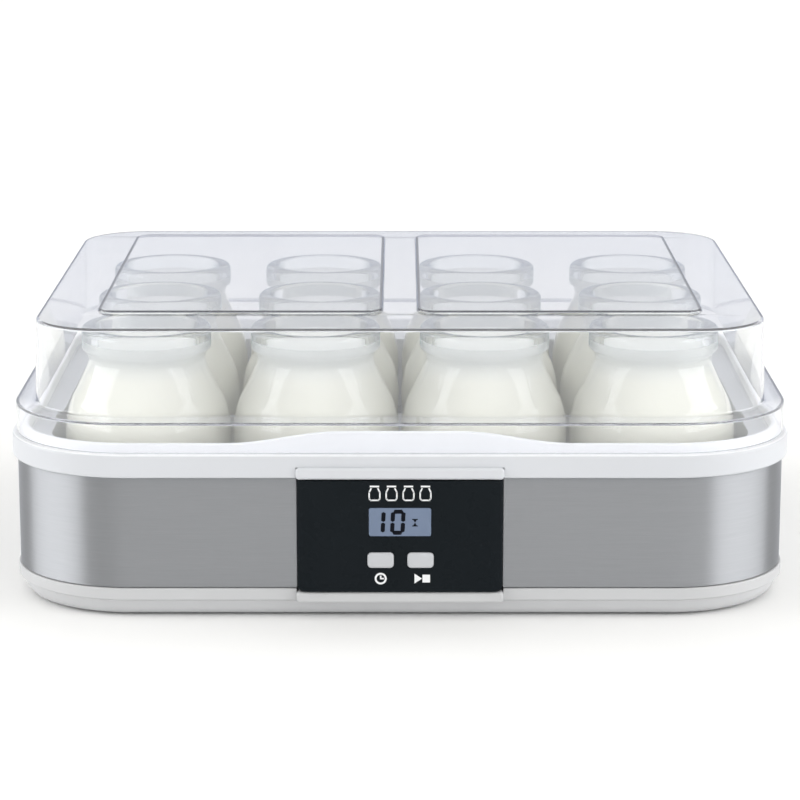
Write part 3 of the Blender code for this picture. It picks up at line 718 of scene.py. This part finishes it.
def rod(radius, length, steps):
    shape = bmesh.new()
    ends = {"radius1": radius, "radius2": radius}
    bmesh.ops.create_cone(shape, cap_ends=True, segments=steps, depth=length, **ends)
    return shape


def pipe(profile, steps):
    """A ring turned from a closed profile that stays off the axis."""
    shape = bmesh.new()
    loops = []
    for step in range(steps):
        angle = 2 * math.pi * step / steps
        spoke = [(radius * math.cos(angle), radius * math.sin(angle), z) for radius, z in profile]
        loops.append([shape.verts.new(point) for point in spoke])
    bridge(shape, loops, ring=True)
    return shape


def gland_centre():
    x, _, z = node_centre("cord_gland")
    return (x, HALF_DEPTH, z)


def make_band():
    """The steel band, its top and bottom edges just turned over."""
    turned = 0.0003
    profile = arc(turned, BAND_BOTTOM + turned, turned, 270, 180, 3)
    profile += arc(turned, BAND_TOP - turned, turned, 180, 90, 3)
    profile += [(BAND_THICKNESS, BAND_TOP), (BAND_THICKNESS, BAND_BOTTOM)]
    mesh = finish_mesh(loft([base_outline(inset, z) for inset, z in profile], ring=True), "steel_band")
    band = show("brushed_band", mesh, "brushed_steel", "base", ["steel_band"])
    entry = turn(rod(ENTRY_RADIUS, FAR, 32), "Y", gland_centre())
    cut(band, notch(FASCIA_HIGH[0] + GAP, 0.0, BAND_TOP + FAR, -HALF_DEPTH + FAR), entry)
    level_shading(band)


def make_cover():
    """The tray under the base: a belt that shows below the band, and a flank that tucks in."""
    low, top = COVER_LOW[2], BAND_BOTTOM - GAP
    upstand = BAND_THICKNESS + GAP + WALL + GAP
    profile = [(0.0062, low), (0.0054, low + 0.0001), (0.0044, low + 0.0005), (0.0033, low + 0.0014)]
    profile += [(0.0024, low + 0.0026), (0.0017, low + 0.0042), (0.0011, COVER_BELT - 0.0006)]
    profile += arc(-COVER_PROUD + 0.0007, COVER_BELT + 0.0008, 0.0007, 270, 180, 4)
    profile += arc(-COVER_PROUD + 0.0006, top - 0.0006, 0.0006, 180, 90, 4)
    profile += [(upstand, top), (upstand, top + 0.0040), (upstand + 0.0018, top + 0.0040)]
    profile += [(upstand + 0.0018, COVER_BELT), (0.0125, low + 0.0024)]
    mesh = finish_mesh(loft([base_outline(inset, z) for inset, z in profile]), "bottom_cover")
    cover = show("cover_tray", mesh, "grey_plastic", "base", ["bottom_cover"])
    trim_low, trim_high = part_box("panel_trim_lower")
    cutters = [notch(trim_high[0] - TRIM_BITE, trim_low[2] + TRIM_BITE, BAND_BOTTOM + FAR, PANEL_BACK)]
    for number in range(1, 5):
        x, y, _ = node_centre(f"foot_{number}")
        cutters.append(turn(rod(0.0093, 0.0040, 40), "Z", (x, y, 0.0010)))
        x, y, _ = node_centre(f"screw_{number}")
        cutters.append(turn(rod(0.0036, 0.0062, 32), "Z", (x, y, 0.0020)))
    cut(cover, *cutters)
    level_shading(cover)


def make_foot(number):
    """A rubber foot with two grooves round its sole."""
    groove, top = 0.0003, 0.0027
    profile = [(0, groove), (0.0030, groove), (0.0034, 0), (0.0052, 0), (0.0056, groove), (0.0060, groove)]
    profile += [(0.0064, 0), (0.0080, 0)] + arc(0.0082, 0.0008, 0.0008, 270, 360, 4)
    profile += [(0.0090, top), (0, top)]
    x, y, _ = node_centre(f"foot_{number}")
    mesh = finish_mesh(lathe(profile, 48), "foot")
    show(f"rubber_foot_{number}", mesh, "rubber", "base", [f"foot_{number}"], (x, y, 0))


def make_screw(number):
    """A cross-headed screw, sunk in the cover."""
    arm, width, depth = 0.0019, 0.00035, 0.0009
    head_radius, head_height, shank_radius = 0.0032, 0.0018, 0.0013
    node = f"screw_{number}"
    x, y, _ = node_centre(node)
    low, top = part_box(node)[0][2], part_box(node)[1][2]
    profile = [(0, low), (0.0024, low), (0.0030, low + 0.0004), (head_radius, low + 0.0010)]
    profile += [(head_radius, low + head_height), (shank_radius, low + head_height)]
    profile += [(shank_radius, top), (0, top)]
    mesh = finish_mesh(lathe(profile, 32), "screw")
    screw = show(f"screw_head_{number}", mesh, "screw_steel", "base", [node], (x, y, 0))
    slot = block((-arm, -width, 0), (arm, width, low + depth))
    cut(screw, slot, block((-width, -arm, 0), (width, arm, low + depth)))


def make_gland():
    """The rubber bush in the back, where the cord would come in."""
    low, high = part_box("cord_gland")
    start, end = low[1] - HALF_DEPTH, high[1] - HALF_DEPTH
    profile = [(0.0034, start), (0.0060, start), (0.0060, GAP), (0.0088, GAP), (0.0088, 0.0022)]
    profile += [(0.0080, 0.0032), (0.0064, 0.0036), (0.0058, end - 0.0006), (0.0052, end), (0.0034, end)]
    mesh = finish_mesh(turn(pipe(profile, 48), "Y", (0, 0, 0)), "cord_gland")
    show("gland_bush", mesh, "rubber", "base", ["cord_gland"], gland_centre())


# --- lid


def plateau_outline(side, grow, z):
    half_width = (PLATEAU_SPAN - PLATEAU_GAP / 2) / 2
    half_depth = (PLATEAU_BACK - PLATEAU_FRONT) / 2
    centre = (side * (PLATEAU_GAP / 2 + half_width), (PLATEAU_FRONT + PLATEAU_BACK) / 2)
    return outline(half_width + grow, half_depth + grow, PLATEAU_RADIUS + grow, z, 10, centre)


def plateau_profile(foot_z, grow, foot_round, top_round):
    """(grow, height) points up a plateau's flank: a fillet, an upright and a rounded edge."""
    top_z = foot_z + PLATEAU_HEIGHT
    points = arc(grow + foot_round, foot_z + foot_round, foot_round, 270, 180, 4)
    return points + arc(grow - top_round, top_z - top_round, top_round, 0, 90, 4)


def top_skin(shape, rim, foot_z, grow, foot_round, top_round):
    """Closes the lid's box with a flat sheet that rises into two plateaus."""
    feet = []
    for side in (-1, 1):
        profile = plateau_profile(foot_z, grow, foot_round, top_round)
        loops = add_loops(shape, [plateau_outline(side, *point) for point in profile])
        bridge(shape, loops)
        shape.faces.new(loops[-1])
        feet.append(loops[0])
    verts = list(rim) + feet[0] + feet[1]
    for triangle in tessellate_polygon([[v.co for v in loop] for loop in (rim, feet[0], feet[1])]):
        shape.faces.new([verts[i] for i in triangle])


def lid_outlines(low_side, box_side):
    return [base_outline(*point) for point in low_side] + [box_outline(*point) for point in box_side]


def make_lid():
    """The clear lid as one thin shell of even wall: skirt, ledge, box and plateaus."""
    foot, top = LEDGE_WIDTH, LEDGE_WIDTH + LID_DRAFT
    outer_round, foot_round, hem, ledge_round, roof_round = 0.0007, 0.0012, 0.0007, 0.0005, 0.0004
    ledge_under, roof_under = LEDGE_OUTER - LID_WALL, LID_TOP - LID_WALL
    base_side = arc(SKIRT_INSET + hem, SKIRT_BOTTOM + hem, hem, 270, 180, 3)
    base_side += arc(SKIRT_INSET + outer_round, LEDGE_OUTER - outer_round, outer_round, 180, 90, 6)
    box_side = arc(foot - foot_round, LEDGE_INNER + foot_round, foot_round, 270, 360, 6)
    box_side += arc(top + LID_EDGE, LID_TOP - LID_EDGE, LID_EDGE, 180, 90, 10)
    under_side = arc(SKIRT_INSET + LID_WALL - hem, SKIRT_BOTTOM + hem, hem, 270, 360, 3)
    inset = SKIRT_INSET + LID_WALL + ledge_round
    under_side += arc(inset, ledge_under - ledge_round, ledge_round, 180, 90, 3)
    inner_side = arc(foot - foot_round, LEDGE_INNER + foot_round, foot_round + LID_WALL, 270, 360, 6)
    inner_side += arc(top + LID_WALL + roof_round, roof_under - roof_round, roof_round, 180, 90, 4)
    shape = bmesh.new()
    outer_loops = add_loops(shape, lid_outlines(base_side, box_side))
    inner_loops = add_loops(shape, lid_outlines(under_side, inner_side))
    bridge(shape, outer_loops)
    bridge(shape, inner_loops)
    bridge(shape, [outer_loops[0], inner_loops[0]])
    top_skin(shape, outer_loops[-1], LID_TOP, 0.0, 0.0005, 0.0004)
    top_skin(shape, inner_loops[-1], roof_under, -LID_WALL, 0.0012, 0.0003)
    mesh = finish_mesh(shape, "lid", 60)
    lid = show("clear_lid", mesh, "clear_plastic", "lid", ["lid"])
    lid.visible_shadow = False
    level_shading(lid)


# --- jars


def jar_profile(height, widest):
    """(radius, height) round a jar's section, from the middle of its foot to the middle of its floor."""
    foot = [(0, 0.0012), (0.0200, 0.0010), (0.0222, 0.0003), (0.0240, 0.0)]
    flank = [
        (widest - 0.0084, 0.0003),
        (widest - 0.0044, 0.0050),
        (widest - 0.0012, 0.0170),
        (widest, height - 0.0480),
        (widest - 0.0004, height - 0.0400),
        (widest - 0.0023, height - 0.0325),
        (widest - 0.0056, height - 0.0258),
        (NECK_RADIUS + 0.0016, height - 0.0178),
        (NECK_RADIUS + 0.0003, height - 0.0140),
    ]
    lip = [(NECK_RADIUS + 0.0012, height - 0.0113), (LIP_RADIUS - 0.0016, height - 0.0104)]
    lip += arc(LIP_RADIUS - 0.0014, height - 0.0086, 0.0014, 300, 360, 4)
    lip += [(LIP_RADIUS, height - 0.0046)]
    lip += arc(LIP_RADIUS - 0.0026, height - 0.0026, 0.0026, 0, 90, 7)
    lip += arc(LIP_RADIUS - 0.0040, height - 0.0014, 0.0014, 90, 180, 5)
    inside = [
        (MOUTH_RADIUS + 0.0010, height - 0.0095),
        (MOUTH_RADIUS, height - 0.0145),
        (NECK_RADIUS, height - 0.0200),
        (widest - 0.0080, height - 0.0270),
        (widest - 0.0046, height - 0.0340),
        (widest - 0.0027, height - 0.0430),
        (widest - 0.0040, 0.0180),
        (widest - 0.0072, 0.0075),
        (widest - 0.0120, 0.0042),
        (0, 0.0040),
    ]
    return foot + curve_through(flank, 4) + lip + curve_through(inside, 4)


def yogurt_profile(level, height, widest):
    """(radius, height) round the fill, which meets the glass all over. Its top is just dished."""
    floor, bite, dish = 0.0039, YOGURT_BITE, level - 0.0006
    walls = [
        (widest - 0.0120, floor),
        (widest - 0.0072 + bite, 0.0073),
        (widest - 0.0040 + bite, 0.0180),
        (widest - 0.0027 + bite, height - 0.0430),
        (widest - 0.0046 + bite, height - 0.0340),
        (widest - 0.0080 + bite, height - 0.0270),
        (NECK_RADIUS + bite, height - 0.0200),
        (MOUTH_RADIUS + bite, height - 0.0145),
        (MOUTH_RADIUS + 0.0010 + bite, height - 0.0095),
        (MOUTH_RADIUS + 0.0011 + bite, level),
    ]
    surface = [(MOUTH_RADIUS + 0.0004, level - 0.0003), (MOUTH_RADIUS - 0.0010, dish)]
    surface += [(MOUTH_RADIUS * 0.6, dish - 0.0001), (MOUTH_RADIUS * 0.25, dish), (0, dish)]
    return [(0, floor)] + curve_through(walls, 4) + surface


def make_jars():
    """Twelve open jars and their yogurt, which share one mesh each."""
    widest = (JAR_HIGH[0] - JAR_LOW[0]) / 2
    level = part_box("yogurt_01")[1][2] - JAR_LOW[2]
    glass = finish_mesh(lathe(jar_profile(JAR_HEIGHT, widest), JAR_STEPS), "jar", 50)
    fill = finish_mesh(lathe(yogurt_profile(level, JAR_HEIGHT, widest), JAR_STEPS), "yogurt", 50)
    for number in range(1, JAR_COUNT + 1):
        name = f"{number:02d}"
        x, y, _ = node_centre(f"jar_{name}")
        place = (x, y, JAR_LOW[2])
        body = f"jar_{name}"
        jar = show(f"glass_jar_{name}", glass, "jar_glass", body, [f"jar_{name}"], place)
        jar.visible_shadow = False
        show(f"set_yogurt_{name}", fill, "yogurt", body, [f"yogurt_{name}"], place)


# --- control panel


def make_trims():
    """The strips above and below the panel, soft at every edge."""
    for name, finish in (("upper", "white_plastic"), ("lower", "grey_plastic")):
        node = f"panel_trim_{name}"
        low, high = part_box(node)
        mesh = finish_mesh(along_x(low, high, 0.0016, 0.0, 0.0012, (True, True)), f"trim_{name}")
        level_shading(show(f"moulded_trim_{name}", mesh, finish, "base", [node]))


def rounding(radius, distance):
    """How far a rounded corner falls short of a sharp one, at this distance from the end."""
    return radius - math.sqrt(max(0.0, radius**2 - max(0.0, radius - distance) ** 2))


def along_x(low, high, corner, crown, edge, rounded):
    """A slab lofted from end to end.

    Its ends curve back by crown. Rounded says whether its lower and its upper corners are rounded.
    """
    half, centre = (high[0] - low[0]) / 2, (low[0] + high[0]) / 2
    loops = []
    for side in (-1, 1):
        for distance in END_DISTANCES if side < 0 else reversed(END_DISTANCES):
            bite = rounding(corner, distance)
            bottom = low[2] + (bite if rounded[0] else 0)
            top = high[2] - (bite if rounded[1] else 0)
            curve_back = crown * (1 - distance / END_DISTANCES[-1]) ** 2
            front = low[1] + curve_back + rounding(edge, distance)
            x = centre + side * (half - distance)
            section = [(x, high[1], bottom), (x, high[1], top)]
            section += [(x, front + y, top - edge + z) for y, z in edge_round(edge, 90, 180)]
            section += [(x, front + y, bottom + edge + z) for y, z in edge_round(edge, 180, 270)]
            loops.append(section)
    return loft(loops)


def edge_round(radius, start, end):
    """(back, up) offsets round a front edge of that radius."""
    return [(radius + radius * math.cos(a), radius * math.sin(a)) for a in turns(start, end, 5)]


def fascia_outline(low, high, inset, radius, y):
    half_width, half_height = (high[0] - low[0]) / 2, (high[2] - low[2]) / 2
    centre = ((low[0] + high[0]) / 2, (low[2] + high[2]) / 2)
    points = outline(half_width - inset, half_height - inset, max(radius - inset, 0.0001), y, 8, centre)
    return [(x, y, z) for x, z, y in points]


def plaque(low, high, radius, edge, front, back):
    """A slab in the XZ plane with rounded corners and a rounded front edge."""
    loops = [fascia_outline(low, high, 0.0, radius, back)]
    for inset, depth in arc(edge, edge, edge, 180, 270, 5):
        loops.append(fascia_outline(low, high, inset, radius, front + depth))
    return loft(loops)


def make_fascia():
    """The black front, whose ends curve back. Its plate is cut for the window and the keys."""
    low, high = FASCIA_LOW, FASCIA_HIGH
    plate_back, wall = SCREEN_HIGH[1], 0.0030
    mesh = finish_mesh(along_x(low, high, 0.0026, 0.0015, 0.0005, (True, False)), "control_fascia")
    fascia = show("black_fascia", mesh, "gloss_black", "base", ["control_fascia"])
    cutters = [block((low[0] + wall, plate_back, low[2] + wall), (high[0] - wall, 0, high[2] - wall))]
    windows = [(SCREEN_LOW, SCREEN_HIGH, 0.0010)]
    windows += [(*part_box(name), 0.0018) for name in ("time_button", "start_stop_button")]
    for hole_low, hole_high, radius in windows:
        hole_low = [value - CLOSE_FIT for value in hole_low]
        hole_high = [value + CLOSE_FIT for value in hole_high]
        cutters.append(plaque(hole_low, hole_high, radius, 0.0001, low[1] - FAR, plate_back + 0.001))
    cut(fascia, *cutters)
    soften(fascia, 0.00012)
    level_shading(fascia)


def make_keys():
    """Each key is a softly crowned cap with rounded corners, on its stem."""
    corner, edge, overlap = 0.0017, 0.0007, 0.0004
    cap_back = SCREEN_HIGH[1] + overlap
    for name in ("time", "start_stop"):
        node = f"{name}_button"
        low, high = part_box(node)
        loops = [fascia_outline(low, high, 0.0, corner, cap_back)]
        for inset, depth in arc(edge, edge, edge, 180, 262, 6):
            loops.append(fascia_outline(low, high, inset, corner, low[1] + depth))
        loops.append(fascia_outline(low, high, 0.0020, corner, low[1]))
        x, _, z = node_centre(node)
        stem = rod(0.0014, high[1] - cap_back + overlap, 24)
        stem = turn(stem, "Y", (x, (high[1] + cap_back) / 2, z))
        mesh = finish_mesh(merge([loft(loops), stem]), f"{name}_key")
        show(f"{name}_keycap", mesh, "button_plastic", f"{name}_key", [node])


def plate(points, y):
    """A flat mark of that outline in the XZ plane, as thick as print."""
    shape = bmesh.new()
    face = shape.faces.new([shape.verts.new((x, y, z)) for x, z in points])
    grown = bmesh.ops.extrude_face_region(shape, geom=[face])
    moved = [item for item in grown["geom"] if isinstance(item, bmesh.types.BMVert)]
    bmesh.ops.translate(shape, vec=(0, -PRINT_DEPTH, 0), verts=moved)
    return shape


def stroke(points, width, y):
    """A line of that width through (x, z) points, as one flat mark for each stretch."""
    marks = []
    for start, end in zip(points, points[1:]):
        along = (Vector(end) - Vector(start)).normalized() * (width / 2)
        across = Vector((-along[1], along[0]))
        a, b = Vector(start) - along * 0.5, Vector(end) + along * 0.5
        marks.append(plate([a + across, b + across, b - across, a - across], y))
    return marks


def segment(start, end, width, y):
    """One bar of a seven-segment digit, with bluntly pointed ends."""
    a, b = Vector(start), Vector(end)
    unit = (b - a).normalized()
    along = unit * (width * 0.28)
    across = Vector((-unit[1], unit[0])) * (width * 0.504)
    points = [a, a + along + across, b - along + across, b, b - along - across, a + along - across]
    return plate(points, y)


def digit(number, x, z, width, height, bar, slant, y):
    """A seven-segment digit whose middle is at (x, z)."""
    lit = {"1": "bc", "0": "abcdef"}[number]
    w, h = width / 2 - bar / 2, height / 2 - bar / 2
    corners = {"a": ((-w, h), (w, h)), "b": ((w, h), (w, 0)), "c": ((w, 0), (w, -h))}
    corners |= {"d": ((-w, -h), (w, -h)), "e": ((-w, 0), (-w, -h)), "f": ((-w, h), (-w, 0))}
    marks = []
    for name in lit:
        (x0, z0), (x1, z1) = corners[name]
        gap = Vector((x1 - x0, z1 - z0)).normalized() * (bar * 0.08)
        start = (x + x0 + slant * z0 + gap[0], z + z0 + gap[1])
        end = (x + x1 + slant * z1 - gap[0], z + z1 - gap[1])
        marks.append(segment(start, end, bar, y))
    return marks


def hourglass(x, z, y):
    """Two triangles, tip to tip, each under a bar."""
    half_width, half_height = 0.0011, 0.0014
    bulb = half_width * 0.8
    marks = []
    for end in (half_height, -half_height):
        marks += stroke([(x - half_width, z + end), (x + half_width, z + end)], 0.0004, y)
        marks.append(plate([(x - bulb, z + end), (x + bulb, z + end), (x, z)], y))
    return marks


def make_display():
    """The window with a two-digit hour count and a small hourglass in place of the unit."""
    y = FASCIA_LOW[1] + 0.00005
    mesh = finish_mesh(plaque(SCREEN_LOW, SCREEN_HIGH, 0.0009, 0.0002, y, SCREEN_HIGH[1]), "lcd")
    level_shading(show("display_window", mesh, "screen", "base", ["lcd_window"]))
    x, _, z = node_centre("lcd_window")
    height, bar, slant = 0.0107, 0.0017, 0.05
    marks = digit("1", x - 0.0088, z, 0.0054, height, bar, slant, y)
    marks += digit("0", x - 0.0009, z, 0.0060, height, bar, slant, y)
    marks += hourglass(x + 0.0062, z - 0.0002, y)
    show("display_digits", finish_mesh(merge(marks), "digits"), "segment_dark", "base")


def jar_mark(x, z, y):
    """A small outline of a jar."""
    w, h, neck = 0.0022, 0.0025, 0.0014
    lid_width, lid_height = neck * 1.25, h * 1.35
    body = [(x - neck, z + h), (x - w, z + h * 0.35), (x - w, z - h * 0.7), (x - w * 0.7, z - h)]
    body += [(x + w * 0.7, z - h), (x + w, z - h * 0.7), (x + w, z + h * 0.35), (x + neck, z + h)]
    top = [(x - lid_width, z + lid_height), (x + lid_width, z + lid_height)]
    return stroke(body, 0.0006, y) + stroke(top, 0.0007, y)


def clock_mark(x, z, size, y):
    """A ring with two hands at right angles."""
    half, hand, tip = 0.0004, 0.00032, size * 0.62
    inner, outer = size - half, size + half
    rim = [(inner, 0), (outer, 0), (outer, PRINT_DEPTH), (inner, PRINT_DEPTH)]
    hands = [(-hand, -hand), (-hand, tip), (hand, tip), (hand, hand), (tip, hand), (tip, -hand)]
    ring = turn(pipe(rim, 40), "-Y", (x, y, z))
    return [ring, plate([(x + across, z + up) for across, up in hands], y)]


def play_and_stop_mark(x, z, size, y):
    """A triangle that points right, and a square beside it."""
    width, half = size * 1.5, size * 0.8
    left, right = x - 0.0025, x + 0.0008
    triangle = [(left, z + size), (left + width, z), (left, z - size)]
    square = [(right, z + half), (right + width, z + half), (right + width, z - half), (right, z - half)]
    return [plate(triangle, y), plate(square, y)]


def make_print():
    """Plain white pictograms: a row of jars, a clock for time, and play and stop."""
    y, size = FASCIA_LOW[1], 0.0021
    marks = []
    for place in (-1.5, -0.5, 0.5, 1.5):
        marks += jar_mark(place * JAR_MARK_PITCH, JAR_MARK_HEIGHT, y)
    marks += clock_mark(node_centre("time_button")[0], MARK_HEIGHT, size, y)
    marks += play_and_stop_mark(node_centre("start_stop_button")[0], MARK_HEIGHT, size, y)
    show("panel_print", finish_mesh(merge(marks), "print"), "print_white", "base")


# --- inside the base


def make_tray():
    """The heating tray, with a round seat pressed in for each jar."""
    low, high = TRAY_LOW[2], TRAY_HIGH[2]
    edge, seat_radius = 0.0005, 0.0290
    profile = [(-GAP - edge, low), (-GAP, low + edge), (-GAP, high - edge), (-GAP - edge, high)]
    mesh = finish_mesh(loft([well_outline(outset, z) for outset, z in profile]), "heating_tray")
    tray = show("warming_tray", mesh, "aluminium_sheet", "base", ["heating_tray"])
    seat_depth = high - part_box("jar_01")[0][2] + GAP
    seats = []
    for number in range(1, JAR_COUNT + 1):
        x, y, _ = node_centre(f"jar_{number:02d}")
        seats.append(turn(rod(seat_radius, seat_depth * 2, 48), "Z", (x, y, high)))
    cut(tray, *seats)
    level_shading(tray)


CARRIED_OVER = {
    "heater_sleeve": ["heating_element"],
    "aluminium_sheet": ["heat_shield"],
    "fuse_body": ["thermal_fuse"],
    "circuit_board": ["power_board", "control_board"],
    "relay_case": ["relay"],
    "grey_plastic": ["lcd_module"],
    "black_plastic": ["temperature_sensor", "transformer", "capacitor", "time_switch", "start_stop_switch"],
    "button_plastic": ["time_plunger", "start_stop_plunger"],
    "ribbon_sleeve": ["ribbon_cable"],
}


def finish_carried_over():
    """The pieces inside keep their CAD shape and get their own finish."""
    for finish, nodes in CARRIED_OVER.items():
        for node in nodes:
            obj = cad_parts[node]
            obj.data.materials.clear()
            obj.data.materials.append(MATERIALS[finish])


# --- studio


def make_floor():
    """A sheet that reaches past the edge of the view."""
    shape = bmesh.new()
    bmesh.ops.create_grid(shape, x_segments=8, y_segments=8, size=30.0)
    floor = bpy.data.objects.new("studio_floor", finish_mesh(shape, "floor"))
    floor.data.materials.append(MATERIALS["floor"])
    bpy.context.scene.collection.objects.link(floor)


def make_top_box():
    """A wide soft light overhead, a little behind the object and aimed at it."""
    data = bpy.data.lights.new("top_box", "AREA")
    data.shape = "RECTANGLE"
    data.size, data.size_y = TOP_BOX_SIZE
    data.energy = TOP_BOX_POWER
    light = bpy.data.objects.new("top_box", data)
    bpy.context.scene.collection.objects.link(light)
    light.location = TOP_BOX_PLACE
    aim = Vector(TOP_BOX_AIM) - Vector(TOP_BOX_PLACE)
    light.rotation_euler = aim.to_track_quat("-Z", "Y").to_euler()


def sky_patch(tree, coordinates, direction, start, end, low, high):
    """Light that goes from low to high as the cosine to the direction goes from start to end."""
    towards = tree.nodes.new("ShaderNodeVectorMath")
    towards.operation = "DOT_PRODUCT"
    towards.inputs[1].default_value = direction
    tree.links.new(coordinates.outputs["Generated"], towards.inputs[0])
    fade = tree.nodes.new("ShaderNodeMapRange")
    fade.interpolation_type = "SMOOTHSTEP"
    fade.inputs["From Min"].default_value = start
    fade.inputs["From Max"].default_value = end
    tree.links.new(towards.outputs["Value"], fade.inputs["Value"])
    blend = tree.nodes.new("ShaderNodeMix")
    blend.data_type = "RGBA"
    tree.links.new(fade.outputs[0], blend.inputs[0])
    blend.inputs[6].default_value = (*low, 1)
    blend.inputs[7].default_value = (*high, 1)
    return blend.outputs[2]


def make_world():
    """A sky bright overhead and dark at the horizon, with a screen at each side, in front and behind."""
    world = bpy.data.worlds.new("studio")
    bpy.context.scene.world = world
    world.use_nodes = True
    tree = world.node_tree
    coordinates = tree.nodes.new("ShaderNodeTexCoord")
    total = None
    for patch in (
        ((0, 0, 1), 0.06, 0.22, SKY_HORIZON, SKY_LOW),
        ((0, 0, 1), 0.22, 0.90, (0, 0, 0), SKY_HIGH),
        ((0.42, -0.91, 0), 0.50, 1.00, (0, 0, 0), SKY_FRONT),
        ((0, 1, 0), 0.70, 0.90, (0, 0, 0), SKY_BACK),
        ((-0.992, -0.122, 0), 0.79, 0.84, (0, 0, 0), SKY_LEFT),
        ((0.978, -0.208, 0), 0.79, 0.84, (0, 0, 0), SKY_RIGHT),
    ):
        light = sky_patch(tree, coordinates, *patch)
        if total:
            both = tree.nodes.new("ShaderNodeVectorMath")
            tree.links.new(total, both.inputs[0])
            tree.links.new(light, both.inputs[1])
            light = both.outputs[0]
        total = light
    tree.links.new(total, tree.nodes["Background"].inputs["Color"])


def make_studio():
    make_floor()
    make_world()
    make_top_box()
    scene = bpy.context.scene
    scene.view_settings.view_transform = "Standard"
    scene.cycles.transmission_bounces = 24
    scene.cycles.max_bounces = 28
    scene.cycles.transparent_max_bounces = 16


make_materials()
make_camera()
make_housing()
make_band()
make_cover()
for corner in range(1, 5):
    make_foot(corner)
    make_screw(corner)
make_gland()
make_tray()
finish_carried_over()
make_trims()
make_fascia()
make_keys()
make_display()
make_print()
make_jars()
make_lid()
make_studio()

bpy.context.view_layer.update()
